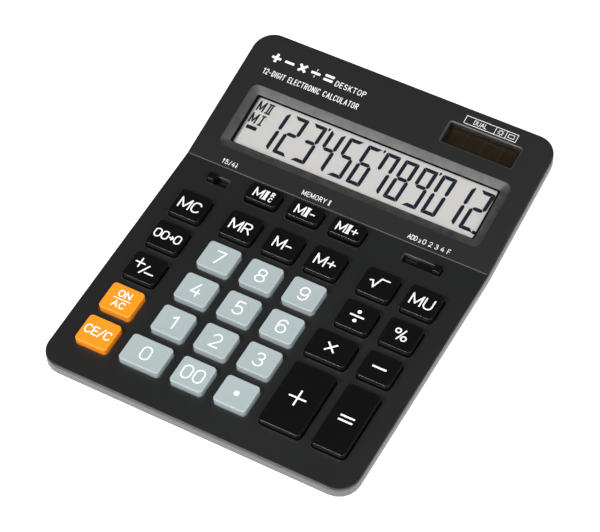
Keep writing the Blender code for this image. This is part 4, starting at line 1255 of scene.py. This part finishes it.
def edge_scuff_and_highlight():
    """Group: edges polished and lightened where the piece's own edge value says they are: handling wear on the
    keys, switches and feet, and a painted highlight on the case.
    """
    inputs = (
        ("Colour", "Color", (0.5, 0.5, 0.5, 1.0)),
        ("Worn Colour", "Color", (0.6, 0.6, 0.6, 1.0)),
        ("Wear", "Float", 0.4),
        ("Roughness", "Float", 0.5),
        ("Polish", "Float", 0.15),
    )
    group, fresh = new_group("edge_scuff_and_highlight", inputs, (("Colour", "Color"), ("Roughness", "Float")))
    if not fresh:
        return group
    source, sink = group.nodes["in"], group.nodes["out"]
    place_on = node(group, "ShaderNodeTexCoord")
    patch = node(group, "ShaderNodeTexNoise", Scale=220.0, Detail=4.0, Roughness=0.65)
    group.links.new(place_on.outputs["Object"], patch.inputs["Vector"])
    edge = node(group, "ShaderNodeAttribute", attribute_name="edge")
    broken = maths(group, "MULTIPLY_ADD", patch.outputs["Fac"], 1.3, -0.15)
    mask = maths(group, "MULTIPLY", edge.outputs["Fac"], broken)
    scuff_and_highlight = maths(group, "MULTIPLY", mask, source.outputs["Wear"])
    group.links.new(
        blend_colour(group, scuff_and_highlight, source.outputs["Colour"], source.outputs["Worn Colour"]),
        sink.inputs["Colour"],
    )
    less = maths(group, "MULTIPLY", mask, source.outputs["Polish"])
    group.links.new(maths(group, "SUBTRACT", source.outputs["Roughness"], less), sink.inputs["Roughness"])
    return group


def use_group(tree, group, **values):
    """A group node in a material; underscores in the names stand for spaces."""
    made = tree.nodes.new("ShaderNodeGroup")
    made.node_tree = group
    for key, value in values.items():
        slot = made.inputs[key.replace("_", " ")]
        if isinstance(value, bpy.types.NodeSocket):
            tree.links.new(value, slot)
        else:
            slot.default_value = value
    return made


def new_finish(name, specular=0.4, **values):
    """A material with its Principled shader; constants go straight on the shader's sockets."""
    made = bpy.data.materials.get(name)
    if made:
        return made, None, None
    made = bpy.data.materials.new(name)
    made.use_nodes = True
    tree = made.node_tree
    shader = tree.nodes["Principled BSDF"]
    shader.inputs["Specular IOR Level"].default_value = specular
    for key, value in values.items():
        shader.inputs[key.replace("_", " ")].default_value = value
    return made, tree, shader


def add_bump(tree, shader, height, depth, strength=1.0):
    """Bump from a height, with its depth in metres."""
    bump = node(tree, "ShaderNodeBump", Strength=strength, Distance=depth)
    tree.links.new(height, bump.inputs["Height"])
    tree.links.new(bump.outputs["Normal"], shader.inputs["Normal"])


def moulded(name, colour, rough, specular, grain, depth, shade=0.08, scuff_and_highlight=0.35, scuff_and_highlight_colour=None, **values):
    """Moulded plastic: grain group, then the edge group (handling wear, and on the case a painted highlight),
    then the shader.
    """
    made, tree, shader = new_finish(name, specular, **values)
    if tree is None:
        return made
    # lighter edge colour: handling wear, and on the case a painted highlight
    scuff_and_highlight_colour = scuff_and_highlight_colour or tuple(min(c * 1.5 + 0.012, 1.0) for c in colour[:3])
    surface = use_group(
        tree, moulded_grain(), Colour=colour4(colour), Grain_Scale=grain, Cloud_Shade=shade,
        Roughness=rough, Roughness_Spread=0.12,
    )
    edges = use_group(
        tree, edge_scuff_and_highlight(), Colour=surface.outputs["Colour"], Worn_Colour=colour4(scuff_and_highlight_colour), Wear=scuff_and_highlight,
        Roughness=surface.outputs["Roughness"], Polish=0.16,
    )
    tree.links.new(edges.outputs["Colour"], shader.inputs["Base Color"])
    tree.links.new(edges.outputs["Roughness"], shader.inputs["Roughness"])
    add_bump(tree, shader, surface.outputs["Height"], depth)
    return made


def case_plastic(name, colour, settings):
    """Case plastic with a fine spark-eroded grain; its edge value lightens it to pale grey, a painted
    highlight on the upright land and the rounded edges of the openings and recesses.
    """
    return moulded(name, colour, 0.42, 0.62, settings.grain_scale, 0.000006, 0.08, 1.0, (0.15, 0.15, 0.145))


def key_plastic(name, colour, kind):
    """Key plastic, smoother than the case; the black keys are the glossiest."""
    rough = {"black": 0.24, "grey": 0.46, "orange": 0.40}[kind]
    specular = {"black": 0.26, "grey": 0.35, "orange": 0.35}[kind]
    return moulded(name, colour, rough, specular, 1800.0, 0.000004, 0.05, 0.25)


def ink_paint(name, colour, rough=0.55):
    """Printed ink: slightly uneven cover over fine grain."""
    return moulded(name, colour, rough, 0.25, 5200.0, 0.000002, 0.06, 0.0)


# ---- carried-over pieces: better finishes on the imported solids' own meshes ----
def dress(names, finish_as):
    """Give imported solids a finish."""
    for name in names:
        mesh = frame["nodes"][name].data
        mesh.materials.clear()
        mesh.materials.append(finish_as)


def window_acrylic():
    """Clear acrylic: almost see-through, with a faint uneven gloss."""
    made, tree, shader = new_finish("window_acrylic", 0.5, IOR=1.49, Alpha=0.10)
    if tree is None:
        return made
    surface = use_group(
        tree, moulded_grain(), Colour=(0.02, 0.02, 0.02, 1.0), Grain_Scale=900.0, Cloud_Shade=0.04,
        Roughness=0.10, Roughness_Spread=0.10,
    )
    tree.links.new(surface.outputs["Colour"], shader.inputs["Base Color"])
    tree.links.new(surface.outputs["Roughness"], shader.inputs["Roughness"])
    return made


def panel_glass(settings):
    """Reflective display panel: pale ground with a fine speckle and a darker sealed rim."""
    made, tree, shader = new_finish("panel_glass", 0.25)
    if tree is None:
        return made
    surface = use_group(
        tree, moulded_grain(), Colour=colour4(settings.panel_colour), Grain_Scale=4200.0, Cloud_Scale=18.0,
        Cloud_Shade=0.05, Roughness=0.55, Roughness_Spread=0.08,
    )
    place_on = node(tree, "ShaderNodeTexCoord")
    split = node(tree, "ShaderNodeSeparateXYZ")
    tree.links.new(place_on.outputs["Object"], split.inputs[0])
    along = maths(tree, "ABSOLUTE", split.outputs["X"])
    rim = maths(tree, "GREATER_THAN", along, RECESS_WIDTH / 2 - RECESS_WALL + 0.0006)
    rimmed = blend_colour(tree, rim, surface.outputs["Colour"], (0.30, 0.31, 0.30, 1.0))
    tree.links.new(rimmed, shader.inputs["Base Color"])
    tree.links.new(surface.outputs["Roughness"], shader.inputs["Roughness"])
    return made


def cell_silicon(settings):
    """Dark amorphous cell: four strips parted by fine pale lines, with a slow brown sheen."""
    made, tree, shader = new_finish("cell_silicon", 0.2, Coat_Weight=0.08, Coat_Roughness=0.08)
    if tree is None:
        return made
    surface = use_group(
        tree, moulded_grain(), Colour=colour4(settings.cell_colour), Grain_Scale=1500.0, Cloud_Scale=60.0,
        Cloud_Shade=0.5, Roughness=0.30, Roughness_Spread=0.10,
    )
    place_on = node(tree, "ShaderNodeTexCoord")
    split = node(tree, "ShaderNodeSeparateXYZ")
    tree.links.new(place_on.outputs["Object"], split.inputs[0])
    pitch = (SOLAR_WIDTH - 2 * SOLAR_ROUND) / 4
    along = maths(tree, "SUBTRACT", split.outputs["X"], SOLAR_X - pitch * 2)
    share = maths(tree, "FRACT", maths(tree, "DIVIDE", along, pitch))
    seam = maths(tree, "LESS_THAN", maths(tree, "ABSOLUTE", maths(tree, "SUBTRACT", share, 0.5)), 0.488)
    gap = maths(tree, "SUBTRACT", 1.0, seam)
    lined = blend_colour(tree, gap, surface.outputs["Colour"], (0.05, 0.035, 0.02, 1.0))
    tree.links.new(lined, shader.inputs["Base Color"])
    tree.links.new(surface.outputs["Roughness"], shader.inputs["Roughness"])
    return made


def board_laminate():
    """Green lacquered board with a pattern of tracks and a woven ground."""
    made, tree, shader = new_finish("board_laminate", 0.45)
    if tree is None:
        return made
    place_on = node(tree, "ShaderNodeTexCoord")
    tracks = node(tree, "ShaderNodeTexBrick", Scale=140.0)
    tree.links.new(place_on.outputs["Object"], tracks.inputs["Vector"])
    tracks.inputs["Color1"].default_value = (0.05, 0.17, 0.07, 1.0)
    tracks.inputs["Color2"].default_value = (0.045, 0.14, 0.06, 1.0)
    tracks.inputs["Mortar"].default_value = (0.12, 0.30, 0.12, 1.0)
    surface = use_group(
        tree, moulded_grain(), Colour=tracks.outputs["Color"], Grain_Scale=2600.0, Cloud_Shade=0.2,
        Roughness=0.35, Roughness_Spread=0.15,
    )
    tree.links.new(surface.outputs["Colour"], shader.inputs["Base Color"])
    tree.links.new(surface.outputs["Roughness"], shader.inputs["Roughness"])
    add_bump(tree, shader, tracks.outputs["Fac"], 0.00003)
    return made


def brushed_metal(name, colour, rough=0.32):
    """Turned or rolled metal: fine lines from noise stretched along one direction."""
    made, tree, shader = new_finish(name, 0.5, Metallic=1.0)
    if tree is None:
        return made
    place_on = node(tree, "ShaderNodeTexCoord")
    stretch = node(tree, "ShaderNodeMapping")
    stretch.inputs["Scale"].default_value = (400.0, 9000.0, 9000.0)
    lines = node(tree, "ShaderNodeTexNoise", Scale=1.0, Detail=2.0)
    tree.links.new(place_on.outputs["Object"], stretch.inputs["Vector"])
    tree.links.new(stretch.outputs["Vector"], lines.inputs["Vector"])
    surface = use_group(
        tree, moulded_grain(), Colour=colour4(colour), Grain_Scale=1200.0, Cloud_Shade=0.18,
        Roughness=rough, Roughness_Spread=0.18,
    )
    tree.links.new(surface.outputs["Colour"], shader.inputs["Base Color"])
    tree.links.new(surface.outputs["Roughness"], shader.inputs["Roughness"])
    add_bump(tree, shader, lines.outputs["Fac"], 0.000004)
    return made


def finish_display(settings):
    """Finishes of the display's window, panel and holder."""
    dress(("display_window",), window_acrylic())
    dress(("lcd_panel",), panel_glass(settings))
    dress(("lcd_holder",), moulded("holder_plastic", (0.55, 0.55, 0.53), 0.5, 0.35, 2200.0, 0.000006))
    film = moulded("ribbon_film", (0.50, 0.26, 0.08), 0.3, 0.5, 3000.0, 0.000003)
    dress(("lcd_ribbon", "power_ribbon"), film)


def finish_solar(settings):
    """Finishes of the solar cell and its clear cover."""
    dress(("solar_cell",), cell_silicon(settings))
    dress(("solar_window",), window_acrylic())


def finish_inside():
    """Finishes of what the case hides: board, chip cover, key mat, switch bases and battery."""
    dress(("main_board",), board_laminate())
    dress(("chip_cover",), moulded("chip_resin", (0.012, 0.012, 0.012), 0.2, 0.5, 900.0, 0.00002))
    dress(("key_mat",), moulded("mat_silicone", (0.55, 0.56, 0.56), 0.6, 0.3, 1500.0, 0.000008))
    pale = moulded("base_plastic", (0.60, 0.58, 0.54), 0.5, 0.35, 2200.0, 0.000006)
    dress(("rounding_switch_base", "decimal_switch_base"), pale)
    dress(("battery",), brushed_metal("cell_steel", (0.62, 0.62, 0.63), 0.28))
    contacts = ("battery_contact_positive", "battery_contact_negative")
    dress(contacts, brushed_metal("contact_nickel", (0.66, 0.64, 0.60), 0.25))


def finish_underside(settings):
    """Finishes of the battery cover and the screws."""
    dress(("battery_cover",), case_plastic("case_grey_and_floor_reflection", settings.band_colour, settings))
    screws = [name for name in frame["nodes"] if name.endswith("_screw") or name.startswith("case_screw")]
    dress(screws, brushed_metal("screw_steel", (0.55, 0.55, 0.56), 0.34))


def build_feet(settings):
    """Four rubber feet: a profile of radius and height turned once round its own upright line."""
    rubber = moulded("foot_rubber_grain", settings.rubber_colour, 0.75, 0.25, 1600.0, 0.00002)
    for name in ("foot_front_left", "foot_front_right", "foot_back_left", "foot_back_right"):
        low, high = (np.array(corner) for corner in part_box(name))
        middle = (low + high) / 2
        radius = (high[0] - low[0]) / 2
        tall = high[2] - low[2]
        soft = tall * 0.28
        profile = [(radius * 0.35, tall), (radius, tall), (radius, soft)]
        profile += [
            (radius - soft * (1 - math.cos(a)), soft - soft * math.sin(a))
            for a in np.linspace(0, math.pi / 2, 6)[1:]
        ]
        profile += [(radius * 0.62, 0.0), (radius * 0.55, tall * 0.16), (radius * 0.2, tall * 0.16)]
        rings = []
        for wide, z in profile:
            rings.append(at_level(circle(middle[0], middle[1], wide, 48), low[2] + z))
        skin = Skin()
        skin.rings(rings[::-1], [0.0, 0.0, 0.3] + [0.5] * 5 + [0.0] * 3, first=True, last=True)
        made = skin.finish(name + "_turned", 40.0)
        made.data.materials.append(rubber)
        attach(made, "case")
        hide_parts(name)


# ---- stage ----
CAMERA_AIM = (0.00076, -0.00500, 0.01512)
CAMERA_AZIMUTH = math.radians(31.156)
CAMERA_ELEVATION = math.radians(51.289)
CAMERA_ROLL = math.radians(-2.517)
CAMERA_DISTANCE = 1.15825
CAMERA_LENS = 158.32


def around(azimuth, elevation, distance, aim):
    """A place on a sphere round an aim; the azimuth turns from the front towards the right."""
    flat = math.cos(elevation)
    away = Vector((math.sin(azimuth) * flat, -math.cos(azimuth) * flat, math.sin(elevation)))
    return Vector(aim) + away * distance


def look_at(place_at, aim, roll=0.0):
    """Matrix of an object at a place with its -Z towards an aim."""
    turn = (Vector(aim) - Vector(place_at)).to_track_quat("-Z", "Y").to_matrix().to_4x4()
    return Matrix.Translation(place_at) @ turn @ Matrix.Rotation(roll, 4, "Z")


def soft_light(name, azimuth, elevation, distance, size, power, colour=(1.0, 1.0, 1.0)):
    """A square area light aimed at the object."""
    lamp = bpy.data.lights.new(name, "AREA")
    lamp.shape = "RECTANGLE"
    lamp.size, lamp.size_y = size
    lamp.energy = power
    lamp.color = colour
    made = bpy.data.objects.new(name, lamp)
    bpy.context.scene.collection.objects.link(made)
    aim = (0.0, 0.0, 0.01)
    made.matrix_world = look_at(around(math.radians(azimuth), math.radians(elevation), distance, aim), aim)
    return made


def build_stage(studio):
    """Pale floor, soft lights, an even sky and the camera."""
    half = 6.0
    corners = np.array([(-half, -half, 0.0), (half, -half, 0.0), (half, half, 0.0), (-half, half, 0.0)])
    mesh = bpy.data.meshes.new("studio_floor")
    mesh.from_pydata(corners.tolist(), [], [(0, 1, 2, 3)])
    floor = bpy.data.objects.new("studio_floor", mesh)
    bpy.context.scene.collection.objects.link(floor)
    paper, tree, shader = new_finish("studio_paper", 0.0, Emission_Strength=studio.floor_glow)
    surface = use_group(
        tree, moulded_grain(), Colour=(0.92, 0.92, 0.92, 1.0), Grain_Scale=700.0, Cloud_Scale=3.0,
        Cloud_Shade=0.01, Roughness=0.9, Roughness_Spread=0.05,
    )
    tree.links.new(surface.outputs["Colour"], shader.inputs["Base Color"])
    tree.links.new(surface.outputs["Colour"], shader.inputs["Emission Color"])
    tree.links.new(surface.outputs["Roughness"], shader.inputs["Roughness"])
    mesh.materials.append(paper)

    soft_light("window_light", 38.0, 50.0, 1.7, (2.8, 2.6), studio.key_power)
    soft_light("side_light", 95.0, 22.0, 1.5, (1.0, 0.6), studio.side_power)
    soft_light("fill_light", -60.0, 30.0, 1.8, (1.2, 1.0), studio.fill_power)
    soft_light("spark_light", -28.0, 47.0, 1.6, (0.35, 0.35), studio.spark_power)

    world = bpy.data.worlds.new("studio_sky")
    world.use_nodes = True
    world.node_tree.nodes["Background"].inputs["Color"].default_value = (1.0, 1.0, 1.0, 1.0)
    world.node_tree.nodes["Background"].inputs["Strength"].default_value = studio.sky_strength
    bpy.context.scene.world = world

    lens = bpy.data.cameras.new("studio_camera")
    lens.lens = CAMERA_LENS
    lens.sensor_width = 36.0
    lens.sensor_fit = "HORIZONTAL"
    lens.clip_start = 0.05
    lens.clip_end = 50.0
    camera = bpy.data.objects.new("studio_camera", lens)
    bpy.context.scene.collection.objects.link(camera)
    place_at = around(CAMERA_AZIMUTH, CAMERA_ELEVATION, CAMERA_DISTANCE, CAMERA_AIM)
    camera.matrix_world = look_at(place_at, CAMERA_AIM, CAMERA_ROLL)
    bpy.context.scene.camera = camera
    bpy.context.scene.view_settings.view_transform = "Standard"


# ---- add-on ----
def tone(name, words, default):
    """A colour property."""
    return FloatVectorProperty(
        name=name, description=words, default=default, size=3, min=0.0, max=1.0, subtype="COLOR"
    )


class CalculatorSettings(bpy.types.PropertyGroup):
    """Sizes and colours of the calculator."""

    opening_round: FloatProperty(
        name="Opening Edge", description="Rounding of the case round each key",
        default=0.0003, min=0.0001, max=0.0006, unit="LENGTH", precision=5,
    )
    # width of the painted highlight bead along the fold
    fold_highlight: FloatProperty(
        name="Fold Line", description="Width of the bright line between keyboard and display",
        default=0.0003, min=0.0001, max=0.0006, unit="LENGTH", precision=5,
    )
    key_corner: FloatProperty(
        name="Key Corner", description="Corner radius of a key seen from above",
        default=0.0018, min=0.0008, max=0.0030, unit="LENGTH", precision=5,
    )
    key_round: FloatProperty(
        name="Key Edge", description="Rounding of a key's top edge",
        default=0.0005, min=0.0002, max=0.0010, unit="LENGTH", precision=5,
    )
    key_dish: FloatProperty(
        name="Key Dish", description="How far a key's top sinks in the middle",
        default=0.00015, min=0.0, max=0.0005, unit="LENGTH", precision=5,
    )
    legend_stroke: FloatProperty(
        name="Legend Stroke", description="Thickness of the lettering on the keys",
        default=0.00072, min=0.0004, max=0.0014, unit="LENGTH", precision=5,
    )
    grain_scale: FloatProperty(
        name="Case Grain", description="Grains for each metre of case plastic",
        default=2600.0, min=500.0, max=8000.0,
    )
    case_colour: tone("Case", "Upper case plastic", (0.0080, 0.0084, 0.0084))
    # mid grey: partly the lower case's own colour, partly a painted reflection of the bright floor
    band_colour: tone("Lower Case", "Lower case plastic", (0.105, 0.105, 0.103))
    black_key_colour: tone("Black Keys", "Plastic of the function keys", (0.0035, 0.0036, 0.0035))
    grey_key_colour: tone("Grey Keys", "Plastic of the number keys", (0.38, 0.445, 0.455))
    orange_key_colour: tone("Orange Keys", "Plastic of the clearing keys", (1.0, 0.30, 0.012))
    legend_colour: tone("Lettering", "Ink of the keys and the case", (0.96, 0.96, 0.96))
    segment_colour: tone("Segments", "Dark parts of the display", (0.008, 0.014, 0.030))
    panel_colour: tone("Display", "Ground of the display", (0.76, 0.745, 0.715))
    cell_colour: tone("Solar Cell", "Silicon of the solar cell", (0.020, 0.0105, 0.0020))
    rubber_colour: tone("Feet", "Rubber of the feet", (0.028, 0.028, 0.029))


class StudioSettings(bpy.types.PropertyGroup):
    """Strengths of the studio's lights."""

    key_power: FloatProperty(
        name="Window Light", description="Power of the light from the front right",
        default=38.0, min=0.0, unit="POWER",
    )
    spark_power: FloatProperty(
        name="Spark Light", description="Power of the small light that draws the keys' front edges",
        default=16.0, min=0.0, unit="POWER",
    )
    side_power: FloatProperty(
        name="Side Light", description="Power of the light from the right",
        default=3.0, min=0.0, unit="POWER",
    )
    fill_power: FloatProperty(
        name="Fill Light", description="Power of the light from the left", default=1.5, min=0.0, unit="POWER",
    )
    sky_strength: FloatProperty(name="Sky", description="Strength of the even sky", default=0.10, min=0.0)
    floor_glow: FloatProperty(
        name="Floor Glow", description="Light the floor gives off itself", default=0.65, min=0.0
    )


class CALCULATOR_OT_upper_case(bpy.types.Operator):
    """Mould the upper case with its openings, recesses and groove, and lay the painted highlight along the
    fold
    """

    bl_idname = "calculator.upper_case"
    bl_label = "Upper Case"

    def execute(self, context):
        build_upper_case(context.scene.calculator)
        build_fold_highlight(context.scene.calculator)
        return {"FINISHED"}


class CALCULATOR_OT_lower_case(bpy.types.Operator):
    """Mould the lower case and ease its edges"""

    bl_idname = "calculator.lower_case"
    bl_label = "Lower Case"

    def execute(self, context):
        build_lower_case(context.scene.calculator)
        return {"FINISHED"}


class CALCULATOR_OT_keys(bpy.types.Operator):
    """Mould all the keys"""

    bl_idname = "calculator.keys"
    bl_label = "Keys"

    def execute(self, context):
        build_keys(context.scene.calculator)
        return {"FINISHED"}


class CALCULATOR_OT_legends(bpy.types.Operator):
    """Print the keys"""

    bl_idname = "calculator.legends"
    bl_label = "Key Lettering"

    def execute(self, context):
        build_legends(context.scene.calculator)
        return {"FINISHED"}


class CALCULATOR_OT_switches(bpy.types.Operator):
    """Mould the two slide switches"""

    bl_idname = "calculator.switches"
    bl_label = "Slide Switches"

    def execute(self, context):
        build_switches(context.scene.calculator)
        return {"FINISHED"}


class CALCULATOR_OT_display(bpy.types.Operator):
    """Finish the display's window and panel"""

    bl_idname = "calculator.display"
    bl_label = "Display"

    def execute(self, context):
        finish_display(context.scene.calculator)
        build_window_shade_border()
        return {"FINISHED"}


class CALCULATOR_OT_digits(bpy.types.Operator):
    """Lay the digits and marks on the display panel"""

    bl_idname = "calculator.digits"
    bl_label = "Display Digits"

    def execute(self, context):
        build_digits(context.scene.calculator)
        return {"FINISHED"}


class CALCULATOR_OT_prints(bpy.types.Operator):
    """Print the case"""

    bl_idname = "calculator.prints"
    bl_label = "Case Lettering"

    def execute(self, context):
        build_prints(context.scene.calculator)
        return {"FINISHED"}


class CALCULATOR_OT_solar(bpy.types.Operator):
    """Finish the solar cell and its cover"""

    bl_idname = "calculator.solar"
    bl_label = "Solar Cell"

    def execute(self, context):
        finish_solar(context.scene.calculator)
        return {"FINISHED"}


class CALCULATOR_OT_inside(bpy.types.Operator):
    """Finish the board, mat, switch bases and battery"""

    bl_idname = "calculator.inside"
    bl_label = "Inside Pieces"

    def execute(self, context):
        finish_inside()
        return {"FINISHED"}


class CALCULATOR_OT_underside(bpy.types.Operator):
    """Finish the battery cover and the screws"""

    bl_idname = "calculator.underside"
    bl_label = "Cover and Screws"

    def execute(self, context):
        finish_underside(context.scene.calculator)
        return {"FINISHED"}


class CALCULATOR_OT_feet(bpy.types.Operator):
    """Turn the four rubber feet"""

    bl_idname = "calculator.feet"
    bl_label = "Feet"

    def execute(self, context):
        build_feet(context.scene.calculator)
        return {"FINISHED"}


class CALCULATOR_OT_stage(bpy.types.Operator):
    """Set the floor, the lights and the camera"""

    bl_idname = "calculator.stage"
    bl_label = "Studio"

    def execute(self, context):
        build_stage(context.scene.calculator_studio)
        return {"FINISHED"}


OPERATORS = (
    CALCULATOR_OT_upper_case,
    CALCULATOR_OT_lower_case,
    CALCULATOR_OT_keys,
    CALCULATOR_OT_legends,
    CALCULATOR_OT_switches,
    CALCULATOR_OT_display,
    CALCULATOR_OT_digits,
    CALCULATOR_OT_prints,
    CALCULATOR_OT_solar,
    CALCULATOR_OT_inside,
    CALCULATOR_OT_underside,
    CALCULATOR_OT_feet,
    CALCULATOR_OT_stage,
)


class CALCULATOR_PT_panel(bpy.types.Panel):
    """Sizes, colours and steps of the calculator"""

    bl_idname = "CALCULATOR_PT_panel"
    bl_label = "Desk Calculator"
    bl_space_type = "VIEW_3D"
    bl_region_type = "UI"
    bl_category = "Calculator"

    def draw(self, context):
        for group in (context.scene.calculator, context.scene.calculator_studio):
            for key in group.__annotations__:
                self.layout.prop(group, key)
        for operator in OPERATORS:
            self.layout.operator(operator.bl_idname)


CLASSES = (CalculatorSettings, StudioSettings) + OPERATORS + (CALCULATOR_PT_panel,)


def register():
    """Add the classes and the scene's two groups of settings."""
    for kind in CLASSES:
        bpy.utils.register_class(kind)
    bpy.types.Scene.calculator = PointerProperty(type=CalculatorSettings)
    bpy.types.Scene.calculator_studio = PointerProperty(type=StudioSettings)


def unregister():
    """Take them away again."""
    del bpy.types.Scene.calculator_studio
    del bpy.types.Scene.calculator
    for kind in reversed(CLASSES):
        bpy.utils.unregister_class(kind)


def main():
    """Make every piece in order."""
    register()
    bpy.ops.calculator.upper_case()
    bpy.ops.calculator.lower_case()
    bpy.ops.calculator.keys()
    bpy.ops.calculator.legends()
    bpy.ops.calculator.switches()
    bpy.ops.calculator.display()
    bpy.ops.calculator.digits()
    bpy.ops.calculator.prints()
    bpy.ops.calculator.solar()
    bpy.ops.calculator.inside()
    bpy.ops.calculator.underside()
    bpy.ops.calculator.feet()
    bpy.ops.calculator.stage()


if __name__ == "__main__":
    main()
